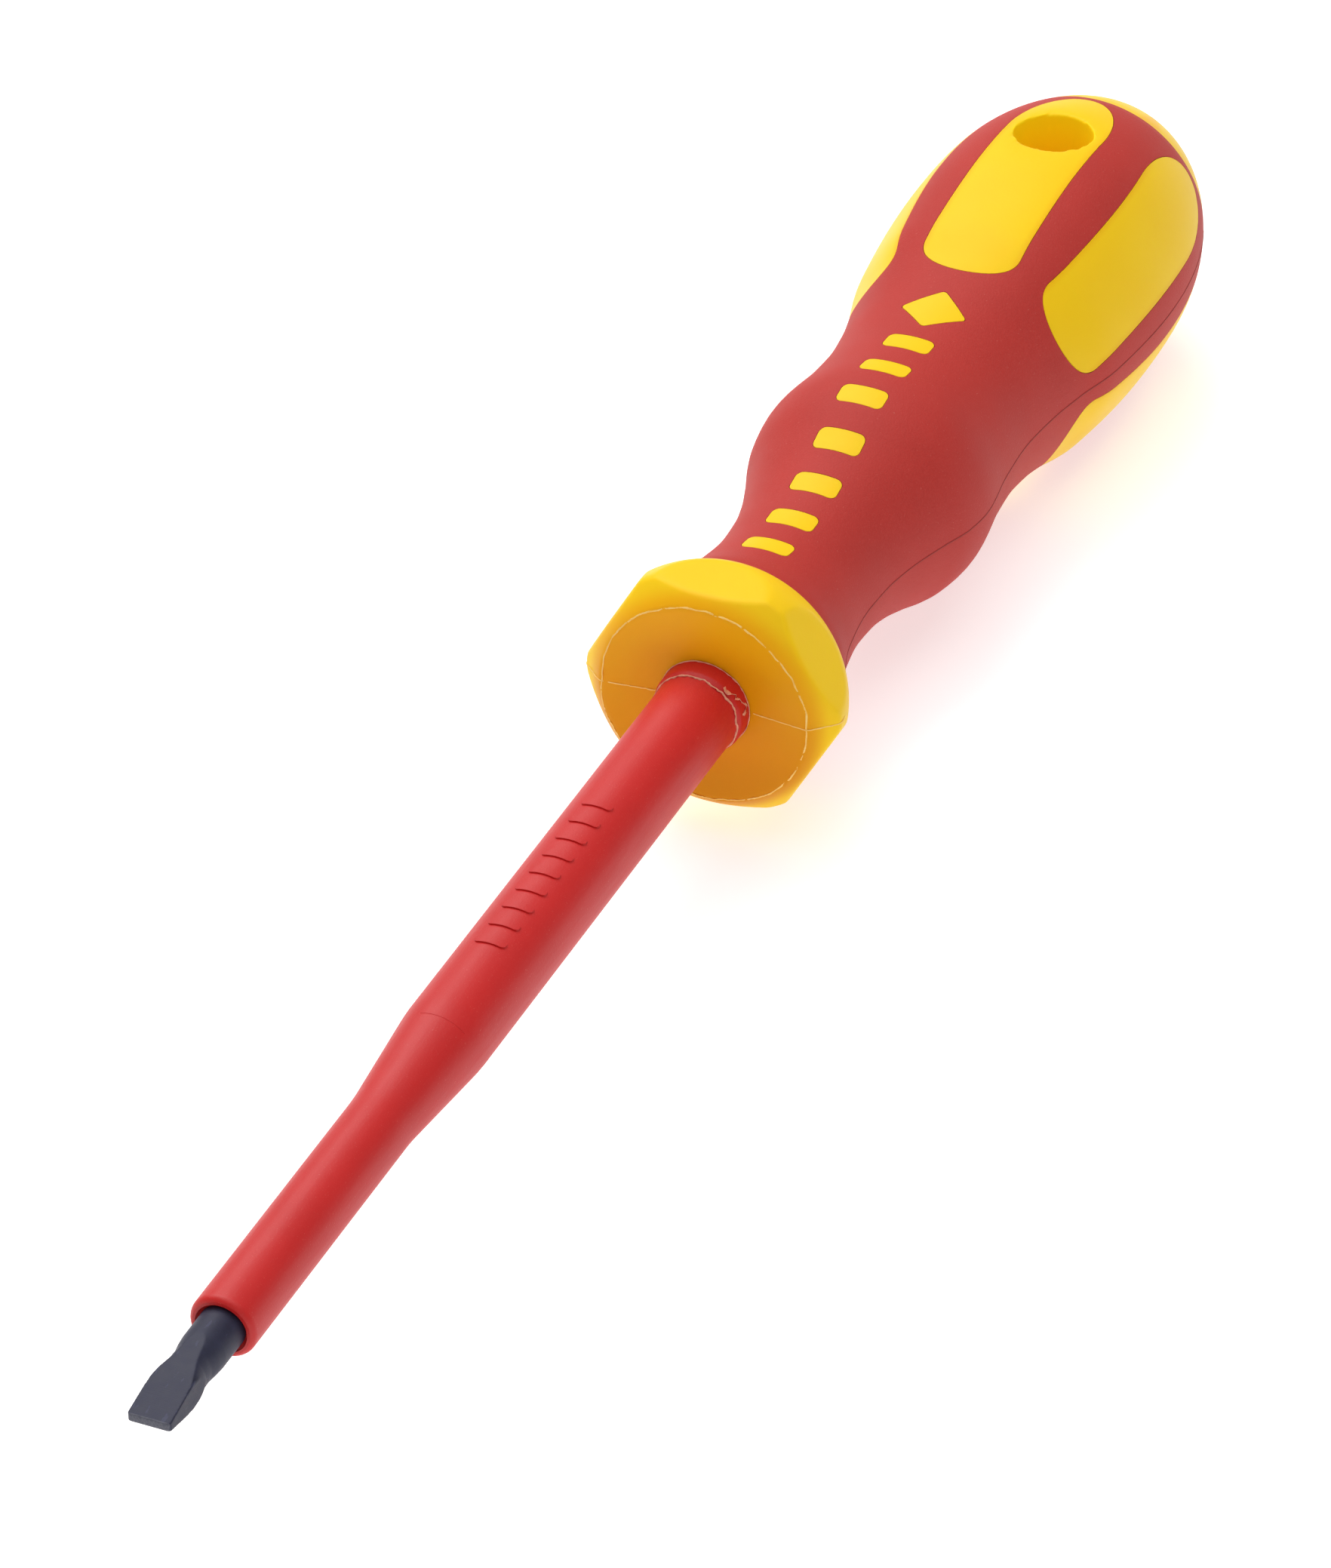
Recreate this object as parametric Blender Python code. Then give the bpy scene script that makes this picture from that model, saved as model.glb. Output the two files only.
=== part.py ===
"""Insulated slotted screwdriver, modelled piece by piece.

The tool lies along X with its tip towards +X. Inside the script every piece is drawn about the
tool's axis, with x = 0 on the front face of the guard. A "station" is a distance from that face
back towards the butt, so it lies at x = -station. The parent empty then lifts the axis to its
height above the surface that the bulb of the handle lies on.
Angles round the axis are measured from +Z, the side of the hang hole, towards +Y.
"""

import math

import bmesh
import bpy
from mathutils import Matrix, Vector

# ---------------------------------------------------------------- driving dimensions, in metres
FIT_GAP = 0.0003              # clearance kept between any two pieces

BLADE_LENGTH = 0.1000         # guard's front face to the tip
BARE_LENGTH = 0.0119          # steel left uncovered at the tip
SHANK_DIAMETER = 0.0038
TIP_WIDTH = 0.0036
TIP_THICKNESS = 0.0007
WEDGE_LENGTH = 0.0088         # length of the two ground flats
TIP_CORNER = 0.00025          # chamfer on the tip's two corners
WING_WIDTH = 0.0068           # flattened wings that lock the tang in the handle
WING_THICKNESS = 0.0026
WING_LENGTH = 0.0080
WING_RUNOUT = 0.0030
TANG_LEAD = 0.0020            # plain shank before the front wings and behind the rear ones

SLEEVE_NOSE_WALL = 0.00088    # from the shank's surface to the sleeve's
SLEEVE_ROOT_WALL = 0.00175
SLEEVE_TAPER_START = 0.0495   # distances from the guard's face towards the tip
SLEEVE_TAPER_END = 0.0605
SLEEVE_LIP_ROUND = 0.0006
SLEEVE_COUNTERSINK = 0.00015  # small chamfer round the steel at the sleeve's open end
SLEEVE_COLLAR_RISE = 0.0003
SLEEVE_COLLAR_FRONT = 0.0007
SLEEVE_COLLAR_LENGTH = 0.0025
SLEEVE_ROOT_DEPTH = 0.0195    # how far the sleeve runs into the handle
SLEEVE_GROOVE_DEPTH = 0.0007
SLEEVE_GROOVE_WIDTH = 0.0020
SLEEVE_GROOVE_COUNT = 2

HANDLE_LENGTH = 0.0938        # guard's front face to the end of the butt
GUARD_ACROSS_FLATS = 0.0206
GUARD_CORNER_FILLET = 0.0020
GUARD_FACE_RADIUS = 0.00925   # ring where the front chamfer starts
GUARD_CHAMFER_DEPTH = 0.0020
GUARD_CHAMFER_RISE = 0.00215
GUARD_BACK_RADIUS = 0.0089    # radius of the rounded back
GUARD_LENGTH = 0.0084
GUARD_DISH_DEPTH = 0.0006
GUARD_SEAT_MARGIN = 0.0004    # flat ring of the guard's face round the collar's pocket

GRIP_FRONT_RADIUS = 0.0090    # the grip where it meets the guard
FLARE_STATION = 0.0128        # end of the steep part behind the guard
FLARE_RADIUS = 0.00766
NECK_STATION = 0.0185
NECK_RADIUS = 0.0071
RISE_STATION = 0.0270         # half-way up to the swell
RISE_RADIUS = 0.0084
SWELL_STATION = 0.0350        # the bulge for thumb and finger
SWELL_RADIUS = 0.0106
WAIST_STATION = 0.0455
WAIST_RADIUS = 0.0097
BULB_RADIUS = 0.01284
BULB_FOOT_LENGTH = 0.0180     # widest part of the bulb to the foot of its slope
BULB_FOOT_RADIUS = 0.0103
BULB_SHOULDER_LENGTH = 0.0100
BULB_SHOULDER_RADIUS = 0.01205
BUTT_LENGTH = 0.0238          # widest part of the bulb to the end of the butt
BUTT_POWER = 2.3              # above 2, the butt is fuller than an ellipse
BULB_FACETING = 0.017         # half the share by which the bulb's ribs stand above its flats
BULB_RIB_FADE = 0.0170        # length over which the ribs die away towards the butt

GRIP_WALL = 0.0012
BUTT_OPENING_FROM_END = 0.0087

HOLE_DIAMETER = 0.0070
HOLE_FROM_BUTT = 0.0183       # butt end to the hang hole's axis

WINDOW_COUNT = 6
WINDOW_LENGTH = 0.0298
WINDOW_MARGIN = 0.0009        # pad left on each side of the hang hole
WINDOW_FROM_BUTT = 0.0098     # butt end to the windows' rear edge
WINDOW_NOSE = 0.0032          # lengths over which a window closes to its round ends
WINDOW_TAIL = 0.0082

INLAY_COUNT = 7               # plain bars along the top of the grip
INLAY_WIDTH = 0.0042
INLAY_LENGTH = 0.0022
INLAY_FILLET = 0.0006
INLAY_FIRST_STATION = 0.0135
INLAY_MARGIN = 0.0110         # clear length kept between the bars and the window
LOZENGE_LENGTH = 0.0052
LOZENGE_WIDTH = 0.0060

CORE_COVER = 0.0018           # least wall of the handle body over the anchor core
CORE_FLUTE = 0.0003
CORE_WEB = 0.0050             # material between the core and the hang hole
CORE_END_ROUND = 0.0020

# ---------------------------------------------------------------- values that follow from them
SHANK_RADIUS = SHANK_DIAMETER / 2
SLEEVE_NOSE_RADIUS = SHANK_RADIUS + SLEEVE_NOSE_WALL
SLEEVE_ROOT_RADIUS = SHANK_RADIUS + SLEEVE_ROOT_WALL
SLEEVE_COLLAR_RADIUS = SLEEVE_ROOT_RADIUS + SLEEVE_COLLAR_RISE
BULB_STATION = HANDLE_LENGTH - BUTT_LENGTH
BUTT_OPENING_STATION = HANDLE_LENGTH - BUTT_OPENING_FROM_END
GRIP_FRONT_STATION = GUARD_LENGTH + FIT_GAP
SLEEVE_TIP = BLADE_LENGTH - BARE_LENGTH
WINDOW_WIDTH = HOLE_DIAMETER + 2 * WINDOW_MARGIN
WINDOW_REAR_STATION = HANDLE_LENGTH - WINDOW_FROM_BUTT
WINDOW_FRONT_STATION = WINDOW_REAR_STATION - WINDOW_LENGTH
HOLE_STATION = HANDLE_LENGTH - HOLE_FROM_BUTT
CORE_FRONT_STATION = SLEEVE_ROOT_DEPTH + 2 * FIT_GAP
CORE_REAR_STATION = HOLE_STATION - HOLE_DIAMETER / 2 - CORE_WEB
TANG_END_STATION = CORE_REAR_STATION - CORE_END_ROUND - TANG_LEAD
AXIS_HEIGHT = BULB_RADIUS
CENTRE_SHIFT = (HANDLE_LENGTH - BLADE_LENGTH) / 2

GRIP_SEGMENTS = 36
TURNED_SEGMENTS = 32
TANG_SEGMENTS = 24
ARC_STEPS = 4
RING_SPACING = 0.0030
FAR = 0.0200                  # reach of a cutter that has to pass right through a surface

FINISHES = {
    "black_oxide_steel": ((0.045, 0.047, 0.068), 0.38, 0.85),
    "red_insulation": ((0.62, 0.035, 0.030), 0.42, 0.0),
    "core_polymer": ((0.50, 0.49, 0.45), 0.60, 0.0),
    "yellow_polymer": ((0.90, 0.56, 0.02), 0.40, 0.0),
    "red_soft_grip": ((0.50, 0.055, 0.050), 0.62, 0.0),
}


# ---------------------------------------------------------------- curves and outlines
def smooth_curve(points, at):
    """Height at `at` of the smooth curve through points, level at its highs and lows."""
    count = len(points)
    rises = [(points[i + 1][1] - points[i][1]) / (points[i + 1][0] - points[i][0])
             for i in range(count - 1)]
    slopes = [rises[0]]
    for before, after in zip(rises, rises[1:]):
        level = before * after <= 0
        slopes.append(0.0 if level else 2 * before * after / (before + after))
    slopes.append(0.0)
    at = min(max(at, points[0][0]), points[-1][0])
    index = max(i for i in range(count - 1) if points[i][0] <= at)
    (start, low), (end, high) = points[index], points[index + 1]
    span = end - start
    t = (at - start) / span
    return ((2 * t ** 3 - 3 * t ** 2 + 1) * low + (t ** 3 - 2 * t ** 2 + t) * span * slopes[index]
            + (3 * t ** 2 - 2 * t ** 3) * high + (t ** 3 - t ** 2) * span * slopes[index + 1])


def ease(value, start, end):
    """0 before start, 1 after end, and a smooth step between them."""
    t = min(max((value - start) / (end - start), 0.0), 1.0)
    return t * t * (3 - 2 * t)


def grip_radius(station):
    """Radius of the handle's outer form over a flat, at a station."""
    if station >= BULB_STATION:
        share = min((station - BULB_STATION) / BUTT_LENGTH, 1.0)
        return BULB_RADIUS * math.sqrt(1 - share ** BUTT_POWER)
    form = [(GUARD_LENGTH, GRIP_FRONT_RADIUS), (FLARE_STATION, FLARE_RADIUS),
            (NECK_STATION, NECK_RADIUS), (RISE_STATION, RISE_RADIUS),
            (SWELL_STATION, SWELL_RADIUS), (WAIST_STATION, WAIST_RADIUS),
            (BULB_STATION - BULB_FOOT_LENGTH, BULB_FOOT_RADIUS),
            (BULB_STATION - BULB_SHOULDER_LENGTH, BULB_SHOULDER_RADIUS),
            (BULB_STATION, BULB_RADIUS)]
    return smooth_curve(form, station)


def outer_radius(station, angle):
    """The handle's outer form: round at the neck and the butt, softly six-sided at the bulb."""
    faceting = BULB_FACETING * ease(station, WAIST_STATION, BULB_STATION)
    ribs = 1 - ease(station, BULB_STATION, BULB_STATION + BULB_RIB_FADE)
    return grip_radius(station) * (1 + faceting * (1 - ribs * math.cos(6 * angle)))


def body_radius(station, angle):
    """The handle body below the grip."""
    return outer_radius(station, angle) - GRIP_WALL - FIT_GAP


def stations_between(start, end):
    """Evenly spaced stations, no further apart than RING_SPACING."""
    count = max(2, math.ceil((end - start) / RING_SPACING))
    return [start + (end - start) * i / count for i in range(count + 1)]


def arc(centre, radius, start, end, steps=ARC_STEPS):
    """Points on an arc in the plane, with both ends."""
    return [(centre[0] + radius * math.cos(start + (end - start) * i / steps),
             centre[1] + radius * math.sin(start + (end - start) * i / steps))
            for i in range(steps + 1)]


def grown(outline, distance):
    """A half outline, from axis to axis, moved outwards by distance at every corner."""
    moved = []
    for index, point in enumerate(outline):
        here = Vector(point)
        before = Vector(outline[max(index - 1, 0)])
        after = Vector(outline[min(index + 1, len(outline) - 1)])
        normals = []
        for a, b in ((before, here), (here, after)):
            along = (b - a).normalized()
            if along.length > 0:
                normals.append(Vector((along.y, -along.x)))
        mean = sum(normals, Vector((0, 0))).normalized()
        step = distance / max(mean.dot(normals[0]), 0.5)
        moved.append(tuple(here + mean * step))
    moved[0] = (outline[0][0] + math.copysign(distance, moved[0][0] - outline[0][0]), 0.0)
    moved[-1] = (outline[-1][0] + math.copysign(distance, moved[-1][0] - outline[-1][0]), 0.0)
    return moved


# ---------------------------------------------------------------- solids
def finish(name):
    """A Principled material with the named finish."""
    colour, roughness, metallic = FINISHES[name]
    material = bpy.data.materials.get(name) or bpy.data.materials.new(name)
    material.use_nodes = True
    shader = material.node_tree.nodes["Principled BSDF"]
    shader.inputs["Base Color"].default_value = (*colour, 1.0)
    shader.inputs["Roughness"].default_value = roughness
    shader.inputs["Metallic"].default_value = metallic
    material.diffuse_color = (*colour, 1.0)
    return material


def solid(name, rings):
    """A closed solid through rings of points. A ring of one point is a pole."""
    mesh = bpy.data.meshes.new(name)
    work = bmesh.new()
    loops = [[work.verts.new(point) for point in ring] for ring in rings]
    for first, second in zip(loops, loops[1:]):
        count = max(len(first), len(second))
        for i in range(count):
            j = (i + 1) % count
            corners = [first[i % len(first)], first[j % len(first)],
                       second[j % len(second)], second[i % len(second)]]
            work.faces.new(list(dict.fromkeys(corners)))
    for end in (loops[0], loops[-1]):
        if len(end) > 2:
            work.faces.new(end)
    bmesh.ops.recalc_face_normals(work, faces=work.faces)
    work.to_mesh(mesh)
    work.free()
    made = bpy.data.objects.new(name, mesh)
    bpy.context.scene.collection.objects.link(made)
    return made


def ring(x, radius_at, segments):
    """Points round the axis at x, with a radius for each angle."""
    angles = [2 * math.pi * i / segments for i in range(segments)]
    return [Vector((x, radius_at(a) * math.sin(a), radius_at(a) * math.cos(a))) for a in angles]


def turned(name, outline, segments=TURNED_SEGMENTS):
    """A turned solid. An outline of (x, radius) points that stops off the axis ends in a flat."""
    rings = [[Vector((x, 0, 0))] if radius == 0 else ring(x, lambda a, r=radius: r, segments)
             for x, radius in outline]
    return solid(name, rings)


def prism(name, outline, angle=0.0, low=0.0, high=FAR):
    """An outline of (x, y) points carried from low to high along the direction at angle."""
    turn = Matrix.Rotation(-angle, 4, "X")
    rings = [[turn @ Vector((x, y, z)) for x, y in outline] for z in (low, high)]
    return solid(name, rings)


def combine(target, tool, operation):
    """Add a Boolean modifier to target and keep its tool as a hidden guide."""
    tool.hide_render = True
    tool.display_type = "WIRE"
    modifier = target.modifiers.new(tool.name, "BOOLEAN")
    modifier.operation = operation
    modifier.object = tool


def place(piece, finish_name, tool_axis):
    """Give a piece its material and smooth shading, and put it on the tool's axis."""
    piece.data.materials.append(finish(finish_name))
    piece.data.shade_smooth()
    piece.data.set_sharp_from_angle(angle=math.radians(35))
    piece.parent = tool_axis


# ---------------------------------------------------------------- blade
def tang_form():
    """Stations along the tang, each with its half width and half thickness."""
    plain = (SHANK_RADIUS, SHANK_RADIUS)
    winged = (WING_WIDTH / 2, WING_THICKNESS / 2)
    whole = WING_LENGTH + 2 * WING_RUNOUT
    form = [(CORE_FRONT_STATION, *plain)]
    for start in (CORE_FRONT_STATION + TANG_LEAD, TANG_END_STATION - TANG_LEAD - whole):
        form += [(start, *plain), (start + WING_RUNOUT, *winged),
                 (start + WING_RUNOUT + WING_LENGTH, *winged), (start + whole, *plain)]
    form.append((TANG_END_STATION, *plain))
    return form


def tang_rings(growth=0.0):
    """Rings round the tang from the sleeve's end to its own, grown for its pocket."""
    angles = [2 * math.pi * i / TANG_SEGMENTS for i in range(TANG_SEGMENTS)]
    return [[Vector((-station, (half_width + growth) * math.sin(a),
                     (half_thickness + growth) * math.cos(a))) for a in angles]
            for station, half_width, half_thickness in tang_form()]


def wedge_cutter(side):
    """Block that grinds one flat of the tip, above (side 1) or below (side -1)."""
    start = BLADE_LENGTH - WEDGE_LENGTH
    slope = (SHANK_RADIUS - TIP_THICKNESS / 2) / WEDGE_LENGTH
    end = BLADE_LENGTH + SHANK_RADIUS
    low = SHANK_RADIUS - slope * (end - start)
    profile = [(start, SHANK_RADIUS), (end, low), (end, FAR), (start, FAR)]
    rings = [[Vector((x, y, side * z)) for x, z in profile] for y in (-FAR, FAR)]
    return solid("wedge_above" if side > 0 else "wedge_below", rings)


def make_blade(tool_axis):
    """Round steel blade with a ground slotted tip and two flattened wings on its tang."""
    rings = list(reversed(tang_rings()))
    rings.append(ring(BLADE_LENGTH - WEDGE_LENGTH, lambda a: SHANK_RADIUS, TANG_SEGMENTS))
    for x, half_width in ((BLADE_LENGTH - TIP_CORNER, TIP_WIDTH / 2),
                          (BLADE_LENGTH, TIP_WIDTH / 2 - TIP_CORNER)):
        flare = half_width / SHANK_RADIUS
        rings.append([Vector((x, p.y * flare, p.z)) for p in rings[0]])
    blade = solid("blade", rings)
    for side in (1, -1):
        combine(blade, wedge_cutter(side), "DIFFERENCE")
    place(blade, "black_oxide_steel", tool_axis)


# ---------------------------------------------------------------- insulation sleeve
def sleeve_outline():
    """Outer half outline of the insulation, from its open end to its root in the handle."""
    lip = arc((SLEEVE_TIP - SLEEVE_LIP_ROUND, SLEEVE_NOSE_RADIUS - SLEEVE_LIP_ROUND),
              SLEEVE_LIP_ROUND, 0, math.pi / 2)
    collar_back = SLEEVE_COLLAR_FRONT - SLEEVE_COLLAR_LENGTH
    outline = [(SLEEVE_TIP, 0.0)] + lip
    outline += [(SLEEVE_TAPER_END, SLEEVE_NOSE_RADIUS), (SLEEVE_TAPER_START, SLEEVE_ROOT_RADIUS),
                (SLEEVE_COLLAR_FRONT, SLEEVE_ROOT_RADIUS),
                (SLEEVE_COLLAR_FRONT, SLEEVE_COLLAR_RADIUS),
                (collar_back, SLEEVE_COLLAR_RADIUS), (collar_back, SLEEVE_ROOT_RADIUS)]
    pitch = (SLEEVE_ROOT_DEPTH + collar_back) / (SLEEVE_GROOVE_COUNT + 1)
    for index in range(SLEEVE_GROOVE_COUNT):
        middle = collar_back - pitch * (index + 1)
        floor = SLEEVE_ROOT_RADIUS - SLEEVE_GROOVE_DEPTH
        front = middle + SLEEVE_GROOVE_WIDTH / 2
        back = middle - SLEEVE_GROOVE_WIDTH / 2
        outline += [(front, SLEEVE_ROOT_RADIUS), (front, floor),
                    (back, floor), (back, SLEEVE_ROOT_RADIUS)]
    outline += [(-SLEEVE_ROOT_DEPTH, SLEEVE_ROOT_RADIUS), (-SLEEVE_ROOT_DEPTH, 0.0)]
    return outline


def make_sleeve(tool_axis):
    """Stepped insulation moulded over the blade, with its collar and its grooved root."""
    sleeve = turned("blade_sleeve", sleeve_outline())
    bore = SHANK_RADIUS + FIT_GAP
    flare = bore + SLEEVE_COUNTERSINK
    cutter = turned("sleeve_bore", [
        (SLEEVE_TIP + FAR, 0.0), (SLEEVE_TIP + FAR, flare), (SLEEVE_TIP, flare),
        (SLEEVE_TIP - 2 * SLEEVE_COUNTERSINK, bore), (-SLEEVE_ROOT_DEPTH - FAR, bore),
        (-SLEEVE_ROOT_DEPTH - FAR, 0.0)], TANG_SEGMENTS)
    combine(sleeve, cutter, "DIFFERENCE")
    place(sleeve, "red_insulation", tool_axis)


# ---------------------------------------------------------------- anchor core
def core_radius(station, angle):
    """The anchor core follows the handle's form at an even depth, with six shallow flutes."""
    grown_radius = body_radius(station, 0.0) - CORE_COVER - FIT_GAP
    from_end = CORE_REAR_STATION - station
    if from_end < CORE_END_ROUND:
        grown_radius -= CORE_END_ROUND * (1 - from_end / CORE_END_ROUND) ** 2
    return grown_radius - CORE_FLUTE * (1 + math.cos(6 * angle)) / 2


def core_solid(name, growth):
    """The core's outer form, grown for its pocket, which opens into the sleeve's pocket."""
    stations = stations_between(CORE_FRONT_STATION, CORE_REAR_STATION - CORE_END_ROUND)
    stations += [CORE_REAR_STATION - CORE_END_ROUND / 2, CORE_REAR_STATION]
    rings = [ring(-s, lambda a, at=s: core_radius(at, a) + growth, TANG_SEGMENTS)
             for s in stations]
    rings[0] = [point + Vector((2 * growth, 0, 0)) for point in rings[0]]
    rings[-1] = [point - Vector((growth, 0, 0)) for point in rings[-1]]
    return solid(name, rings)


def make_core(tool_axis):
    """First moulding round the tang, which keeps the blade from turning or pulling out."""
    core = core_solid("anchor_core", 0.0)
    rings = tang_rings(FIT_GAP)
    rings.insert(0, [point + Vector((FAR, 0, 0)) for point in rings[0]])
    rings[-1] = [point - Vector((FIT_GAP, 0, 0)) for point in rings[-1]]
    combine(core, solid("tang_pocket", rings), "DIFFERENCE")
    place(core, "core_polymer", tool_axis)


# ---------------------------------------------------------------- windows and inlays
def window_outline(growth=0.0):
    """Outline of one window with elliptical ends, grown for its opening in the grip."""
    half = WINDOW_WIDTH / 2 + growth
    nose = WINDOW_NOSE + growth
    tail = WINDOW_TAIL + growth
    front = -WINDOW_FRONT_STATION + growth - nose
    rear = -WINDOW_REAR_STATION - growth + tail
    steps = 2 * ARC_STEPS + 1
    ahead = arc((0.0, 0.0), 1.0, math.pi / 2, -math.pi / 2, steps)
    behind = arc((0.0, 0.0), 1.0, -math.pi / 2, -3 * math.pi / 2, steps)
    points = [(front + x * nose, y * half) for x, y in ahead]
    return points + [(rear + x * tail, y * half) for x, y in behind]


def bar_outline(middle, half_length, half_width):
    """Outline of a short bar with rounded corners."""
    points = []
    for x_side, y_side, start in ((1, 1, 90), (1, -1, 0), (-1, -1, -90), (-1, 1, -180)):
        centre = (middle + x_side * (half_length - INLAY_FILLET),
                  y_side * (half_width - INLAY_FILLET))
        points += arc(centre, INLAY_FILLET, math.radians(start), math.radians(start - 90))
    return points


def inlay_outlines(growth=0.0):
    """Outlines of the row of plain bars and of the lozenge behind it."""
    row = WINDOW_FRONT_STATION - INLAY_MARGIN - INLAY_FIRST_STATION
    pitch = row / (INLAY_COUNT - 1)
    outlines = []
    for index in range(INLAY_COUNT):
        middle = -INLAY_FIRST_STATION - pitch * index
        half = min(INLAY_LENGTH, pitch / 2) / 2 + growth
        outlines.append(bar_outline(middle, half, INLAY_WIDTH / 2 + growth))
    middle = -WINDOW_FRONT_STATION + INLAY_MARGIN / 2
    half_length = LOZENGE_LENGTH / 2 + growth * math.sqrt(2)
    half_width = LOZENGE_WIDTH / 2 + growth * math.sqrt(2)
    outlines.append([(middle + half_length, 0.0), (middle, -half_width),
                     (middle - half_length, 0.0), (middle, half_width)])
    return outlines


def opening_prisms(growth):
    """One prism for each window and inlay, from inside the handle out past its surface."""
    low = NECK_RADIUS - 2 * GRIP_WALL
    prisms = []
    for index in range(WINDOW_COUNT):
        angle = 2 * math.pi * index / WINDOW_COUNT
        name = "window_%d_%d" % (index, growth > 0)
        prisms.append(prism(name, window_outline(growth), angle, low, FAR))
    for index, outline in enumerate(inlay_outlines(growth)):
        name = "inlay_%d_%d" % (index, growth > 0)
        prisms.append(prism(name, outline, 0.0, low, FAR))
    return prisms


# ---------------------------------------------------------------- handle body
def hexagon_outline():
    """Guard's six-sided outline with rounded corners, flats facing up and down."""
    apothem = GUARD_ACROSS_FLATS / 2
    reach = (apothem - GUARD_CORNER_FILLET) / math.cos(math.pi / 6)
    points = []
    for index in range(6):
        middle = math.radians(30 + 60 * index)
        centre = (reach * math.cos(middle), reach * math.sin(middle))
        points += arc(centre, GUARD_CORNER_FILLET, middle - math.pi / 6, middle + math.pi / 6)
    return points


def guard_outline():
    """Turned half outline of the guard: dished face, front chamfer and rounded back."""
    crest = GUARD_FACE_RADIUS + GUARD_CHAMFER_RISE
    seat = SLEEVE_COLLAR_RADIUS + FIT_GAP + GUARD_SEAT_MARGIN
    outline = [(-GUARD_DISH_DEPTH, seat), (0.0, GUARD_FACE_RADIUS)]
    back = GUARD_LENGTH - GUARD_CHAMFER_DEPTH
    for step in range(7):
        depth = back * step / 6
        drop = GUARD_BACK_RADIUS - math.sqrt(GUARD_BACK_RADIUS ** 2 - depth ** 2)
        outline.append((-GUARD_CHAMFER_DEPTH - depth, crest - drop))
    outline.append((-GUARD_LENGTH, 0.0))
    return outline


def make_guard():
    """Six-sided guard, cut from a hexagonal bar by the turned outline."""
    bar = [[Vector((x, -y, z)) for z, y in hexagon_outline()] for x in (FAR, -FAR)]
    guard = solid("guard_bar", bar)
    combine(guard, turned("guard_turning", guard_outline(), 2 * TURNED_SEGMENTS), "INTERSECT")
    return guard


def handle_loft(name, start, end, radius_at):
    """Solid between two stations with a radius for each station and angle."""
    rings = [ring(-s, lambda a, at=s: radius_at(at, a), GRIP_SEGMENTS)
             for s in stations_between(start, end)]
    return solid(name, rings)


def butt_rings(start):
    """Rings of the outer form from a station to the pole of the butt."""
    steps = 6
    rings = []
    for step in range(steps):
        station = start + (HANDLE_LENGTH - start) * math.sin(math.pi / 2 * step / steps)
        rings.append(ring(-station, lambda a, at=station: outer_radius(at, a), GRIP_SEGMENTS))
    rings.append([Vector((-HANDLE_LENGTH, 0, 0))])
    return rings


def outer_form():
    """The whole outer form of the handle behind the guard."""
    stations = stations_between(GRIP_FRONT_STATION, BUTT_OPENING_STATION)
    rings = [ring(-s, lambda a, at=s: outer_radius(at, a), GRIP_SEGMENTS) for s in stations[:-1]]
    return solid("outer_form", rings + butt_rings(BUTT_OPENING_STATION))


def body_form():
    """The body below the grip, which rises to the outer form at the butt."""
    shoulder = BUTT_OPENING_STATION + FIT_GAP / 2
    stations = stations_between(GUARD_LENGTH / 2, shoulder)
    rings = [ring(-s, lambda a, at=max(s, GRIP_FRONT_STATION): body_radius(at, a), GRIP_SEGMENTS)
             for s in stations]
    return solid("handle_body", rings + butt_rings(shoulder))


def make_body(tool_axis):
    """Hard handle body: guard, window pads, inlays and butt in one moulding."""
    body = body_form()
    combine(body, make_guard(), "UNION")
    for pad in opening_prisms(0.0):
        combine(pad, bpy.data.objects.get("outer_form") or outer_form(), "INTERSECT")
        combine(body, pad, "UNION")
    combine(body, turned("sleeve_pocket", grown(sleeve_outline(), FIT_GAP)), "DIFFERENCE")
    combine(body, core_solid("core_pocket", FIT_GAP), "DIFFERENCE")
    combine(body, hole_cutter(), "DIFFERENCE")
    place(body, "yellow_polymer", tool_axis)


def hole_cutter():
    """Round bar for the hang hole, straight through the top and bottom windows."""
    outline = arc((-HOLE_STATION, 0.0), HOLE_DIAMETER / 2, 0, 2 * math.pi, TANG_SEGMENTS)[:-1]
    return prism("hang_hole", outline, 0.0, -FAR, FAR)


# ---------------------------------------------------------------- soft grip
def make_grip(tool_axis):
    """Soft skin over the body, open at the guard, at the butt and at every window."""
    grip = handle_loft("soft_grip", GRIP_FRONT_STATION, BUTT_OPENING_STATION - FIT_GAP / 2,
                       outer_radius)
    inside = handle_loft("grip_inside", GRIP_FRONT_STATION, BUTT_OPENING_STATION,
                         lambda s, a: body_radius(s, a) + FIT_GAP)
    for vertex in inside.data.vertices:
        if vertex.co.x > -GRIP_FRONT_STATION - FIT_GAP / 10:
            vertex.co.x += FIT_GAP
        if vertex.co.x < -BUTT_OPENING_STATION + FIT_GAP / 10:
            vertex.co.x -= FIT_GAP
    combine(grip, inside, "DIFFERENCE")
    for opening in opening_prisms(FIT_GAP):
        combine(grip, opening, "DIFFERENCE")
    place(grip, "red_soft_grip", tool_axis)


def main():
    """Clear the scene and build the screwdriver."""
    for old in list(bpy.data.objects):
        bpy.data.objects.remove(old, do_unlink=True)
    tool_axis = bpy.data.objects.new("tool_axis", None)
    tool_axis.location = (CENTRE_SHIFT, 0.0, AXIS_HEIGHT)
    bpy.context.scene.collection.objects.link(tool_axis)
    make_blade(tool_axis)
    make_sleeve(tool_axis)
    make_core(tool_axis)
    make_body(tool_axis)
    make_grip(tool_axis)
    for made in bpy.data.objects:
        if made.display_type == "WIRE":
            made.parent = tool_axis


main()
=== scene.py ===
import math

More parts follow.
